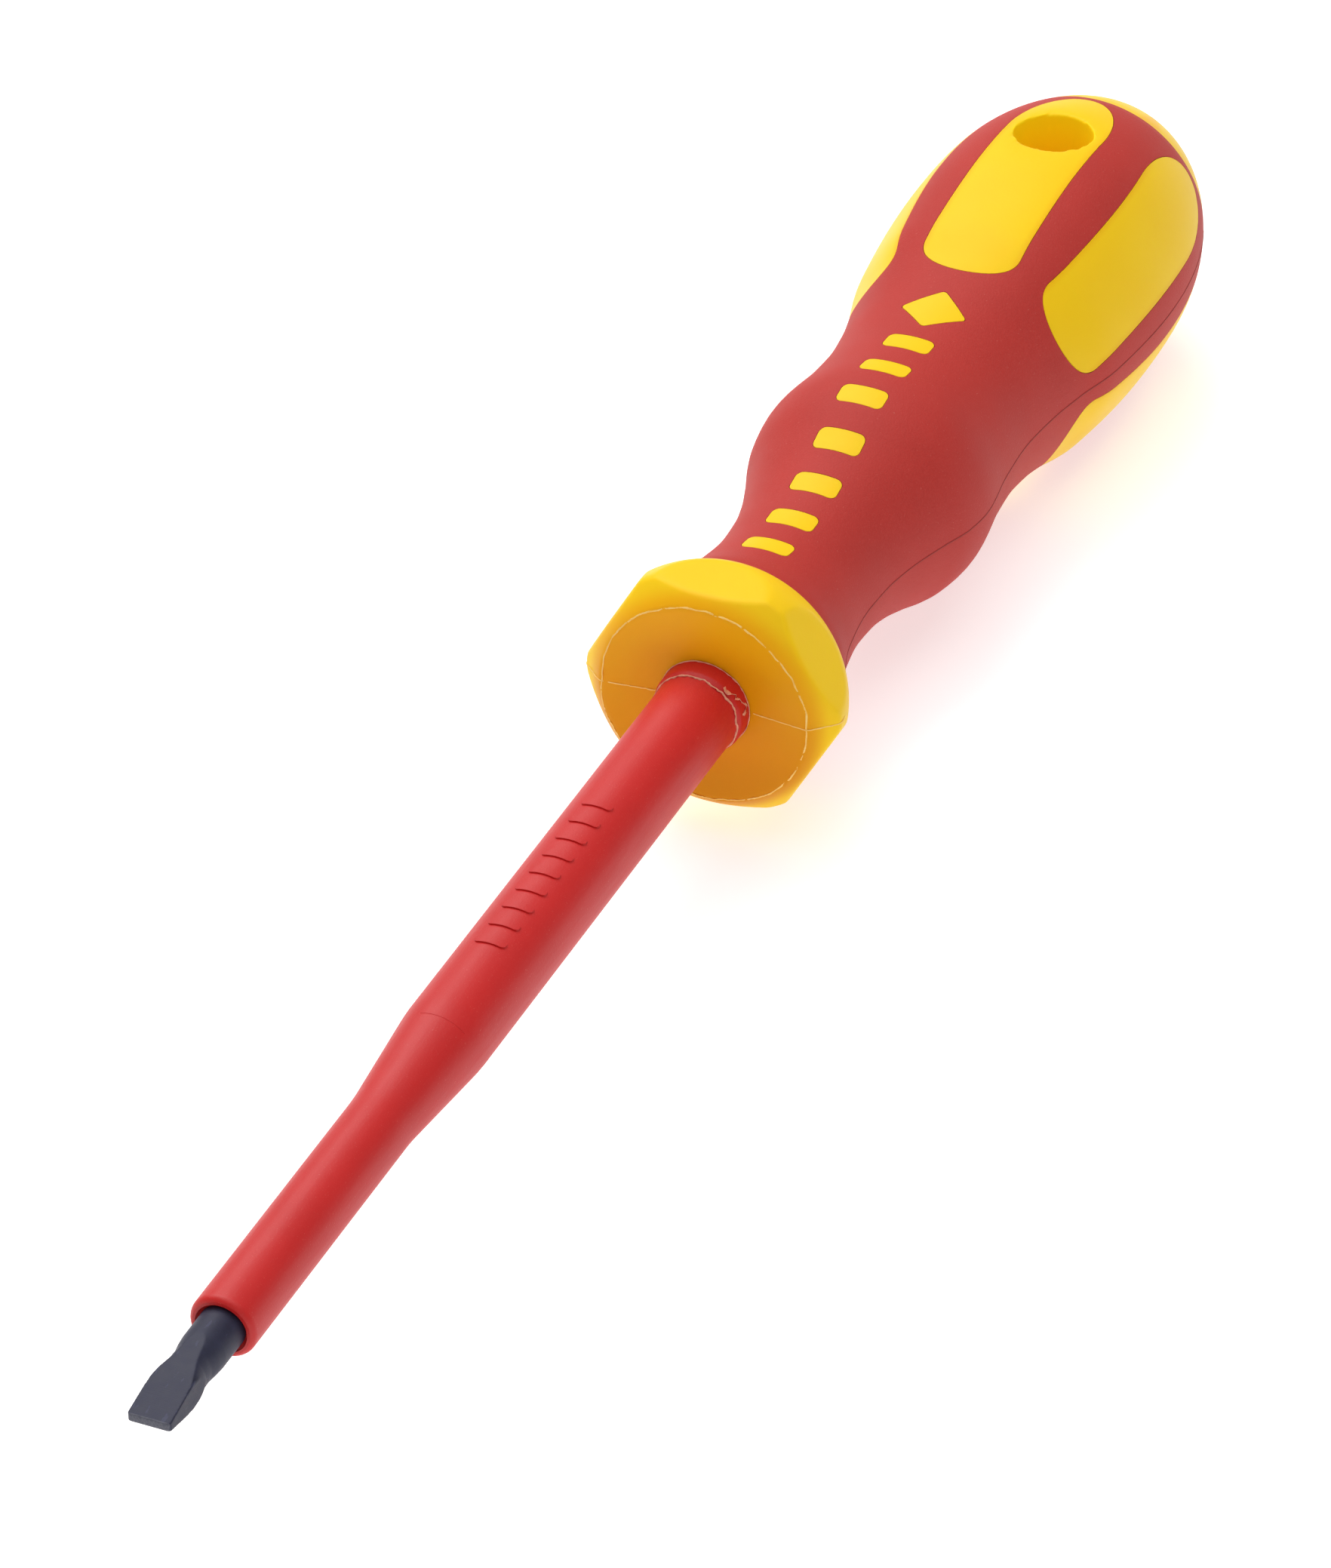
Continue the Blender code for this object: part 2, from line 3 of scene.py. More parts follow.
import bpy
from bpy.props import FloatProperty, FloatVectorProperty, IntProperty, PointerProperty
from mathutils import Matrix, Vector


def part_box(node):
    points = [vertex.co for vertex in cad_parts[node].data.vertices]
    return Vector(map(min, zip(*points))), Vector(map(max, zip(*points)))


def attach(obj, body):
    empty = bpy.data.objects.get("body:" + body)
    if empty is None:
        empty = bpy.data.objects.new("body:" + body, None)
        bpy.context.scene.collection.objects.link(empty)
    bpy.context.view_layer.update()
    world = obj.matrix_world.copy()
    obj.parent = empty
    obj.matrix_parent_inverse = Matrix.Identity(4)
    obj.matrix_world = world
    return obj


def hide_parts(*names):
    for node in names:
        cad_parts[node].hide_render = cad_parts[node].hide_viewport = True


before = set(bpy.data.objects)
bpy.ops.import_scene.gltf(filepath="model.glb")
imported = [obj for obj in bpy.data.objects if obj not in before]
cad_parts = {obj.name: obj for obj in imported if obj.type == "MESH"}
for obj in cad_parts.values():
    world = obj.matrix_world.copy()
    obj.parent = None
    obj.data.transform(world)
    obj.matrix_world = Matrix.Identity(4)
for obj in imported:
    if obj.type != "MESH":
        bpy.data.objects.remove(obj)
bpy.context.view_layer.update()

bl_info = {
    "name": "Insulated Screwdriver",
    "version": (1, 0, 0),
    "blender": (4, 5, 0),
    "location": "3D View > Sidebar > Screwdriver",
    "description": "Models an insulated screwdriver piece by piece",
    "category": "Add Mesh",
}

MM = 0.001

# Places taken from the parts in model.glb. A station is a distance from the guard's front face to
# the butt.
HANDLE_LOW, HANDLE_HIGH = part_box("handle_body")
SLEEVE_LOW, SLEEVE_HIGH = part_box("blade_sleeve")
BLADE_LOW, BLADE_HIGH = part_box("blade")
GRIP_LOW, GRIP_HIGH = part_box("soft_grip")
FACE_X = HANDLE_HIGH[0]
BUTT_X = HANDLE_LOW[0]
TIP_X = BLADE_HIGH[0]
TANG_X = BLADE_LOW[0]
LIP_X = SLEEVE_HIGH[0]
ROOT_X = SLEEVE_LOW[0]
AXIS_Z = (SLEEVE_LOW[2] + SLEEVE_HIGH[2]) / 2
AXIS = (0.0, 0.0, AXIS_Z)
HANDLE_LENGTH = FACE_X - BUTT_X
GRIP_FRONT = FACE_X - GRIP_HIGH[0]
GRIP_REAR = FACE_X - GRIP_LOW[0]

# Tolerances and finenesses of the modelling.
NEAR = 0.001 * MM            # two places closer than this are the same
FINE_STEPS = 144             # steps round the handle's turned forms
BLADE_STEPS = 96             # steps round the blade, its insulation and the holes
RIB_START = 45 * MM          # station where the bulb's soft ribs begin to rise
RIB_FULL = 64 * MM           # station where they reach their full height
RIB_FADE = 17 * MM           # distance behind the widest part over which they die away


# ---------------------------------------------------------------- settings
def length(name, description, millimetres):
    """A length that a user can change."""
    return FloatProperty(name=name, description=description, default=millimetres * MM,
                         min=0.0, unit="LENGTH", subtype="DISTANCE", precision=5)


def colour(name, description, value):
    """A colour that a user can change."""
    return FloatVectorProperty(name=name, description=description, default=value, size=3,
                               min=0.0, max=1.0, subtype="COLOR")


class BladeSizes(bpy.types.PropertyGroup):
    """Sizes of the steel blade and its insulation."""
    shank: length("Shank radius", "Radius of the round steel", 1.9)
    tip_width: length("Tip width", "Width of the slotted tip", 3.6)
    tip_thickness: length("Tip thickness", "Thickness of the end of the tip", 0.7)
    wedge: length("Ground length", "Length of the two ground sides", 9.0)
    facet: length("Facet length", "Length of the steeper flats at the end", 4.9)
    facet_thickness: length("Facet thickness", "Thickness where the flats change slope", 2.7)
    waist_width: length("Waist width", "Width where the round shank meets the tip", 3.4)
    waist_place: length("Waist place", "Tip's end to the waist", 7.2)
    tip_corner: length("Tip corner", "Rounding of the tip's two corners", 0.30)
    wing_width: length("Wing width", "Width of the flattened wings on the tang", 6.8)
    wing_thickness: length("Wing thickness", "Thickness of the wings", 2.6)
    nose: length("Nose radius", "Radius of the insulation near the tip", 2.78)
    root: length("Root radius", "Radius of the insulation near the guard", 3.65)
    collar: length("Collar radius", "Radius of the insulation's collar", 3.95)
    taper_front: length("Taper front", "Guard's face to the thin end of the taper", 60.3)
    taper_back: length("Taper back", "Guard's face to the thick end of the taper", 49.4)
    lip_round: length("Lip rounding", "Rounding of the insulation's open end", 0.6)
    mark_height: length("Mark height", "Height of the raised bars", 0.14)
    mark_count: IntProperty(name="Marks", description="Raised bars on the insulation",
                            default=9, min=1)


class HandleSizes(bpy.types.PropertyGroup):
    """Sizes of the guard, the handle and the grip."""
    guard_flats: length("Guard", "Distance across the guard's flats", 20.6)
    guard_corner: length("Guard corner", "Rounding of the guard's six corners", 2.0)
    guard_face: length("Face radius", "Radius at which the front chamfer starts", 9.3)
    guard_crest: length("Crest radius", "Greatest radius of the guard", 11.43)
    guard_dish: length("Face dish", "Depth of the hollow in the front face", 0.6)
    guard_length: length("Guard length", "Length of the guard along the axis", 8.4)
    bulb: length("Bulb radius", "Radius of the widest part of the handle", 12.80)
    butt: length("Butt length", "Widest part of the bulb to the end of the butt", 23.8)
    wall: length("Grip wall", "Thickness of the soft grip", 1.2)
    seam: length("Joint", "Open joint between the grip and the hard plastic", 0.05)
    window_width: length("Window width", "Width of the six windows", 8.8)
    window_length: length("Window length", "Length of the six windows", 29.9)
    window_rear: length("Window rear", "End of the butt to the windows", 9.8)
    window_tail: length("Window tail", "Length of the windows' rounded rear", 8.2)
    window_nose: length("Window nose", "Length of the windows' rounded front", 3.2)
    hole: length("Hang hole", "Radius of the hang hole", 3.5)
    hole_place: length("Hole place", "End of the butt to the hang hole's axis", 18.3)
    bar_width: length("Inlay width", "Width of the inlaid bars", 4.2)
    bar_length: length("Inlay length", "Length of each inlaid bar", 2.2)
    bar_count: IntProperty(name="Inlays", description="Inlaid bars on the grip", default=7, min=1)


class Colours(bpy.types.PropertyGroup):
    """Colours of the five materials."""
    steel: colour("Steel", "Black oxide on the blade", (0.022, 0.023, 0.050))
    insulation: colour("Insulation", "Red of the insulation", (0.58, 0.012, 0.011))
    body: colour("Body", "Yellow of the hard plastic", (0.97, 0.635, 0.012))
    # amber paints shade on the guard's dished face, its lower half and the windows' edges, and
    # also gives the yellow's random tone
    amber: colour("Body depth", "Deeper yellow where the plastic is thin or shaded",
                  (0.86, 0.30, 0.002))
    grip: colour("Grip", "Red of the soft grip", (0.48, 0.031, 0.023))
    core: colour("Core", "Grey of the hidden core", (0.46, 0.45, 0.41))
    floor: colour("Floor", "Pale studio floor", (0.72, 0.72, 0.72))


# ---------------------------------------------------------------- curves
def smooth_curve(points, at):
    """Height at `at` of the smooth curve through points, level at its highs and lows."""
    count = len(points)
    rises = [(points[i + 1][1] - points[i][1]) / (points[i + 1][0] - points[i][0])
             for i in range(count - 1)]
    slopes = [rises[0]]
    for before, after in zip(rises, rises[1:]):
        slopes.append(0.0 if before * after <= 0 else 2 * before * after / (before + after))
    slopes.append(0.0)
    at = min(max(at, points[0][0]), points[-1][0])
    index = max(i for i in range(count - 1) if points[i][0] <= at)
    (start, low), (end, high) = points[index], points[index + 1]
    span = end - start
    t = (at - start) / span
    return ((2 * t ** 3 - 3 * t ** 2 + 1) * low + (t ** 3 - 2 * t ** 2 + t) * span * slopes[index]
            + (3 * t ** 2 - 2 * t ** 3) * high + (t ** 3 - t ** 2) * span * slopes[index + 1])


def ease(value, start, end):
    """0 before start, 1 after end, and a smooth step between them."""
    t = min(max((value - start) / (end - start), 0.0), 1.0)
    return t * t * (3 - 2 * t)


def spread(start, end, spacing):
    """Even steps from start to end, no wider than spacing."""
    count = max(1, math.ceil(abs(end - start) / spacing))
    return [start + (end - start) * i / count for i in range(count + 1)]


def arc(x, y, radius, start, end, steps):
    """Points on an arc about (x, y), with angles in degrees."""
    angles = [math.radians(start + (end - start) * i / steps) for i in range(steps + 1)]
    return [(x + radius * math.cos(a), y + radius * math.sin(a)) for a in angles]


def handle_radius(sizes, station):
    """Radius of the handle's outer form over a flat, at a station."""
    widest = HANDLE_LENGTH - sizes.butt
    if station >= widest:
        share = min((station - widest) / sizes.butt, 1.0)
        return sizes.bulb * math.sqrt(1 - share ** 2.25)
    form = [(8.4, 9.0), (12.5, 7.72), (17.8, 7.1), (21.5, 7.27), (25.0, 7.88), (29.0, 9.1),
            (32.5, 10.3), (35.2, 10.6), (41.0, 9.93), (45.5, 9.7), (50.0, 10.02),
            (55.0, 10.84), (60.0, 12.0)]
    points = [(at * MM, radius * MM) for at, radius in form] + [(widest, sizes.bulb)]
    return smooth_curve(points, station)


# ---------------------------------------------------------------- modelling by hand
def deselect():
    """Leave edit mode with nothing selected."""
    if bpy.context.object and bpy.context.object.mode != "OBJECT":
        bpy.ops.object.mode_set(mode="OBJECT")
    bpy.ops.object.select_all(action="DESELECT")


def activate(piece):
    """Make one object the selected and active one."""
    deselect()
    piece.select_set(True)
    bpy.context.view_layer.objects.active = piece


def edit(piece, mode="EDGE"):
    """Enter edit mode on one object with nothing selected in it."""
    activate(piece)
    bpy.ops.object.mode_set(mode="EDIT")
    bpy.ops.mesh.select_mode(type=mode)
    bpy.ops.mesh.select_all(action="DESELECT")


def settle(piece, name):
    """Name a piece and put its place into its mesh."""
    activate(piece)
    bpy.ops.object.transform_apply(location=True, rotation=True, scale=True)
    piece.name = name
    return piece


def pick(piece, kind, test):
    """Select the vertices, edges or faces whose centre passes the test."""
    bpy.ops.object.mode_set(mode="OBJECT")
    mesh = piece.data
    for item in getattr(mesh, kind):
        if kind == "vertices":
            item.select = test(item.co)
        else:
            corners = [mesh.vertices[i].co for i in item.vertices]
            item.select = test(sum(corners, corners[0] * 0) / len(corners))
    bpy.ops.object.mode_set(mode="EDIT")


def lathe(name, outline, steps):
    """Draw an outline of (x, radius) points with an extruded vertex, then spin it."""
    deselect()
    x, radius = outline[0]
    bpy.ops.mesh.primitive_plane_add(size=MM, location=(x, 0, AXIS_Z + radius))
    piece = settle(bpy.context.object, name)
    bpy.ops.object.mode_set(mode="EDIT")
    bpy.ops.mesh.select_mode(type="VERT")
    bpy.ops.mesh.select_all(action="SELECT")
    bpy.ops.mesh.merge(type="CENTER")
    for here, there in zip(outline, outline[1:]):
        step = (there[0] - here[0], 0, there[1] - here[1])
        bpy.ops.mesh.extrude_vertices_move(TRANSFORM_OT_translate={"value": step})
    bpy.ops.mesh.select_all(action="SELECT")
    bpy.ops.mesh.spin(steps=steps, angle=math.tau, center=AXIS, axis=(1, 0, 0))
    bpy.ops.mesh.select_all(action="SELECT")
    bpy.ops.mesh.remove_doubles(threshold=MM / 500)
    bpy.ops.mesh.dissolve_degenerate(threshold=MM / 1000)
    bpy.ops.mesh.select_all(action="SELECT")
    bpy.ops.mesh.normals_make_consistent(inside=False)
    deselect()
    return piece


def block(name, low, high):
    """A box between two corners, ready for bevels."""
    deselect()
    centre = [(a + b) / 2 for a, b in zip(low, high)]
    bpy.ops.mesh.primitive_cube_add(size=1, location=centre,
                                    scale=[b - a for a, b in zip(low, high)])
    return settle(bpy.context.object, name)


def round_upright(piece, test, radius, segments):
    """Round the upright edges of a block whose centres pass the test."""
    edit(piece)
    pick(piece, "edges", test)
    bpy.ops.mesh.bevel(offset=radius, segments=segments, profile=0.5)
    deselect()


def change(piece, kind, **settings):
    """Add a modifier with its settings and apply it."""
    activate(piece)
    modifier = piece.modifiers.new(kind.title(), kind)
    for key, value in settings.items():
        setattr(modifier, key, value)
    bpy.ops.object.modifier_apply(modifier=modifier.name)


def cut(piece, tool, operation, keep=False):
    """Apply a Boolean with a tool, and remove the tool unless it's kept."""
    change(piece, "BOOLEAN", operation=operation, solver="EXACT", object=tool)
    if not keep:
        bpy.data.objects.remove(tool, do_unlink=True)


def copy_of(piece, name):
    """A copy of a piece with its own mesh."""
    activate(piece)
    bpy.ops.object.duplicate()
    made = bpy.context.object
    made.name = name
    return made


def join(pieces, name):
    """Join pieces into one object."""
    activate(pieces[0])
    for piece in pieces[1:]:
        piece.select_set(True)
    if len(pieces) > 1:
        bpy.ops.object.join()
    return settle(bpy.context.object, name)


def turn(piece, degrees):
    """Turn a piece round the tool's axis."""
    activate(piece)
    bpy.ops.transform.rotate(value=math.radians(degrees), orient_axis="X", center_override=AXIS)
    return settle(piece, piece.name)


def smooth(piece, angle=35):
    """Shade a piece smooth except at its sharp edges."""
    activate(piece)
    bpy.ops.object.shade_smooth_by_angle(angle=math.radians(angle))


def facet(piece, sizes, start):
    """Raise six soft ribs on the bulb, which die away towards the butt."""
    group = piece.vertex_groups.new(name="ribs")
    widest = HANDLE_LENGTH - sizes.butt
    for vertex in piece.data.vertices:
        station = FACE_X - vertex.co.x
        y, z = vertex.co.y, vertex.co.z - AXIS_Z
        radius = math.hypot(y, z)
        if station >= start and radius > handle_radius(sizes, station) - sizes.wall / 2:
            rise = ease(station, RIB_START, RIB_FULL) * radius / sizes.bulb
            fade = 1 - ease(station, widest, widest + RIB_FADE)
            ribs = (1 - fade * math.cos(6 * math.atan2(y, z))) / 2
            group.add([vertex.index], max(rise * ribs, 0.0), "REPLACE")
    change(piece, "DISPLACE", strength=0.034 * sizes.bulb, mid_level=0.0, direction="NORMAL",
           vertex_group="ribs")


def finish_piece(piece, material, node=None):
    """Give a piece its material and its body, and hide the CAD part it stands for."""
    piece.data.materials.clear()
    piece.data.materials.append(material)
    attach(piece, "root")
    if node:
        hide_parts(node)


# ---------------------------------------------------------------- shader expressions
class Wire:
    """A shader socket that can stand in sums, products and comparisons."""

    def __init__(self, finish, socket):
        self.finish = finish
        self.socket = socket

    def __add__(self, other):
        return self.finish.maths("ADD", self, other)

    __radd__ = __add__

    def __sub__(self, other):
        return self.finish.maths("SUBTRACT", self, other)

    def __rsub__(self, other):
        return self.finish.maths("SUBTRACT", other, self)

    def __mul__(self, other):
        return self.finish.maths("MULTIPLY", self, other)

    __rmul__ = __mul__

    def __pow__(self, other):
        return self.finish.maths("POWER", self, other)

    def __abs__(self):
        return self.finish.maths("ABSOLUTE", self)

    def below(self, limit, softness):
        """1 where the value is under the limit, fading to 0 over the softness."""
        return self.finish.node("ShaderNodeMapRange", {"interpolation_type": "SMOOTHSTEP"}, {
            "Value": self, "From Min": limit + softness, "From Max": limit - softness})


class Finish:
    """A material under construction on a Principled shader."""

    def __init__(self, name, base, roughness, **steady):
        self.material = bpy.data.materials.new(name)
        self.material.use_nodes = True
        self.tree = self.material.node_tree
        self.shader = self.tree.nodes["Principled BSDF"]
        self.shader.inputs["Base Color"].default_value = (*base, 1.0)
        self.shader.inputs["Roughness"].default_value = roughness
        for socket, value in steady.items():
            self.shader.inputs[socket.replace("_", " ")].default_value = value
        self.place = self.node("ShaderNodeTexCoord", output="Object")
        split = self.node("ShaderNodeSeparateXYZ", {}, {0: self.place}, output=None)
        self.x, self.y, self.z = (Wire(self, split.outputs[i]) for i in range(3))

    def node(self, kind, settings=None, sockets=None, output=0):
        """Add a node: its settings first, then the values or links of its sockets."""
        node = self.tree.nodes.new(kind)
        for key, value in (settings or {}).items():
            setattr(node, key, value)
        for key, value in (sockets or {}).items():
            if isinstance(value, Wire):
                self.tree.links.new(value.socket, node.inputs[key])
            else:
                node.inputs[key].default_value = value
        return node if output is None else Wire(self, node.outputs[output])

    def maths(self, operation, *values):
        """The result of one calculation."""
        return self.node("ShaderNodeMath", {"operation": operation}, dict(enumerate(values)))

    def noise(self, scale, detail=2.0, stretch=(1, 1, 1), rough=0.5):
        """Noise from 0 to 1 with features about 1/scale metres wide."""
        vector = self.node("ShaderNodeMapping", {}, {"Vector": self.place, "Scale": stretch})
        return self.node("ShaderNodeTexNoise", {}, {
            "Vector": vector, "Scale": scale, "Detail": detail, "Roughness": rough})

    def mix(self, factor, first, second):
        """Blend two colours."""
        sockets = {0: factor, 6: first, 7: second}
        for index in (6, 7):
            if isinstance(sockets[index], tuple) and len(sockets[index]) == 3:
                sockets[index] = (*sockets[index], 1.0)
        return self.node("ShaderNodeMix", {"data_type": "RGBA"}, sockets, output=2)

    def bump(self, height, distance, strength=1.0, under=None):
        """Turn a height from 0 to 1 into a surface normal."""
        sockets = {"Height": height, "Distance": distance, "Strength": strength}
        if under:
            sockets["Normal"] = under
        return self.node("ShaderNodeBump", {}, sockets)

    def connect(self, **links):
        """Link wires to the shader's sockets and return the material."""
        for socket, wire in links.items():
            self.tree.links.new(wire.socket, self.shader.inputs[socket.replace("_", " ")])
        return self.material

    def off_axis(self):
        """Distance from the tool's axis."""
        return (self.y ** 2 + (self.z - AXIS_Z) ** 2) ** 0.5

    def hole_glow(self):
        """Painted glow, as emission, in the hang hole, standing in for light that the translucent
        plastic lets in, brightest near its mouths.
        """
        sizes = bpy.context.scene.driver_handle
        centre = BUTT_X + sizes.hole_place
        away = ((self.x - centre) ** 2 + self.y ** 2) ** 0.5
        inside = away.below(sizes.hole + 0.12 * MM, 0.10 * MM)
        deep = abs(self.z - AXIS_Z).below(8.5 * MM, 4 * MM)
        bulb = (self.x - (FACE_X - 60 * MM)).below(0.0, MM)
        glow = self.mix(deep, (0.13, 0.14, 0.0), (0.04, 0.012, 0.0))
        return self.mix(inside * bulb, (0.0, 0.0, 0.0), glow)

    def across(self, count):
        """Distance to the nearest of a number of planes set evenly round the tool's axis."""
        angle = self.maths("ARCTAN2", self.y, self.z - AXIS_Z)
        return self.off_axis() * self.maths("SINE", self.maths("PINGPONG", angle,
                                                               math.pi / count))


def scaled(shade, factor):
    """A colour made lighter or darker."""
    return tuple(min(value * factor, 1.0) for value in shade)


def steel_finish(colours):
    """Matt black oxide with faint grinding marks, small scratches and a worn end."""
    made = Finish("black_oxide_steel", colours.steel, 0.5, Metallic=0.1,
                  Specular_IOR_Level=0.35)
    patches = made.noise(1100, 4)
    grind = made.noise(9000, 2, (1.0, 0.06, 1.0))
    tone = made.mix(patches, scaled(colours.steel, 0.62), scaled(colours.steel, 1.30))
    scratches = (made.noise(2600, 3, (0.25, 1.0, 1.0)) - 0.66).below(0.0, 0.03)
    tone = made.mix((1 - scratches) * 0.35, tone, scaled(colours.steel, 2.6))
    worn = (1 - (made.x - TIP_X).below(-0.00012, 0.00006)) * made.noise(5200, 2)
    tone = made.mix(worn * 0.8, tone, (0.21, 0.21, 0.24))
    normal = made.bump(grind, 0.00003, 0.35)
    normal = made.bump(patches, 0.00006, 0.35, normal)
    return made.connect(Base_Color=tone, Roughness=0.42 + patches * 0.2, Normal=normal)


def insulation_finish(colours):
    """Satin moulded insulation with faint drag marks, a fine grain and a little dust."""
    made = Finish("red_insulation", colours.insulation, 0.4, Specular_IOR_Level=0.4)
    cloud = made.noise(160, 3)
    drag = made.noise(2600, 3, (0.07, 1.0, 1.0))
    grain = made.noise(6500, 2)
    tone = made.mix(cloud, scaled(colours.insulation, 0.92), scaled(colours.insulation, 1.08))
    tone = made.mix((grain - 0.5) * 0.35, tone, (0.70, 0.07, 0.05))
    clear = (made.noise(7200, 1) - 0.735).below(0.0, 0.02)
    tone = made.mix((1 - clear) * 0.30, tone, (0.72, 0.17, 0.13))
    normal = made.bump(grain, 0.00005, 0.30)
    normal = made.bump(drag, 0.00006, 0.20, normal)
    return made.connect(Base_Color=tone, Roughness=0.38 + drag * 0.16, Normal=normal)


def body_finish(colours, name="yellow_polymer"):
    """Semi-gloss yellow plastic, with painted shade in amber on the guard's face and at the edges
    of the windows, and a painted glow in the hang hole.
    """
    made = Finish(name, colours.body, 0.4, Subsurface_Weight=0.10, Subsurface_Scale=0.0015,
                  Specular_IOR_Level=0.10, Emission_Strength=1.0)
    made.shader.inputs["Subsurface Radius"].default_value = (1.0, 0.45, 0.08)
    cloud = made.noise(140, 3)
    grain = made.noise(3800, 2)
    # Painted shade and bounce light: the guard's dished face is coloured amber, deepest near the
    # bore.
    behind = (made.x - (FACE_X - 0.8 * MM)).below(0.0, 0.7 * MM)
    depth = (1 - behind) * (0.62 + 0.35 * made.off_axis().below(6.2 * MM, 2.2 * MM))
    pads = (made.x - (FACE_X - 20 * MM)).below(0.0, MM)
    # Painted shade: amber along the windows' edges, where the yellow rounds off.
    rim = 1 - made.across(6).below(4.1 * MM, 0.35 * MM)
    tone = made.mix(depth, tuple(colours.body), tuple(colours.amber))
    tone = made.mix(rim * pads * 0.30, tone, tuple(colours.amber))
    # Painted shade: the lower half of the guard's face is darkened further.
    lower_painted_shade = (made.z - AXIS_Z).below(0.0, 6 * MM)
    tone = made.mix((1 - behind) * lower_painted_shade * 0.8, tone, scaled(colours.amber, 0.74))
    tone = made.mix(cloud * 0.16, tone, tuple(colours.amber))
    normal = made.bump(grain, 0.00004, 0.22)
    normal = made.bump(cloud, 0.0004, 0.12, normal)
    return made.connect(Base_Color=tone, Roughness=0.34 + cloud * 0.12, Normal=normal,
                        Emission_Color=made.hole_glow())


def flash_finish(name, dull, bright):
    """Thin ragged plastic left at the edges of a mould."""
    made = Finish(name, dull, 0.55, Specular_IOR_Level=0.3)
    rag = made.noise(1500, 3)
    tone = made.mix(rag, dull, bright)
    return made.connect(Base_Color=tone, Normal=made.bump(rag, 0.0001, 0.5))


def grip_finish(colours):
    """Soft grip with a fine matt texture and a very little dust."""
    made = Finish("red_soft_grip", colours.grip, 0.6, Specular_IOR_Level=0.3)
    cloud = made.noise(120, 3)
    grain = made.noise(6000, 3, rough=0.6)
    tone = made.mix(cloud, scaled(colours.grip, 0.92), scaled(colours.grip, 1.10))
    tone = made.mix((grain - 0.45) * 0.45, tone, (0.60, 0.11, 0.09))
    clear = (made.noise(5200, 2) - 0.72).below(0.0, 0.02)
    tone = made.mix((1 - clear) * 0.22, tone, (0.68, 0.24, 0.20))
    normal = made.bump(grain, 0.00010, 0.42)
    normal = made.bump(cloud, 0.0005, 0.10, normal)
    return made.connect(Base_Color=tone, Roughness=0.55 + grain * 0.16, Normal=normal)


def seam_finish(colours):
    """Mould seam on the grip, a little darker than the skin."""
    made = Finish("grip_seam", scaled(colours.grip, 0.55), 0.7)
    wear = made.noise(900, 3)
    tone = made.mix(wear, scaled(colours.grip, 0.42), scaled(colours.grip, 0.85))
    return made.connect(Base_Color=tone, Normal=made.bump(wear, 0.0001, 0.4))


def core_finish(colours):
    """Plain moulded core, hidden inside the handle."""
    made = Finish("core_polymer", colours.core, 0.6)
    cloud = made.noise(400, 3)
    tone = made.mix(cloud, scaled(colours.core, 0.85), scaled(colours.core, 1.1))
    return made.connect(Base_Color=tone, Normal=made.bump(cloud, 0.0001, 0.3))


def floor_finish(colours):
    """Matt pale floor with hardly any tone in it."""
    made = Finish("studio_floor", colours.floor, 0.9, Specular_IOR_Level=0.1,
                  Emission_Color=(1.0, 1.0, 1.0, 1.0), Emission_Strength=0.60)
    cloud = made.noise(3, 2)
    tone = made.mix(cloud, scaled(colours.floor, 0.995), scaled(colours.floor, 1.005))
    return made.connect(Base_Color=tone)


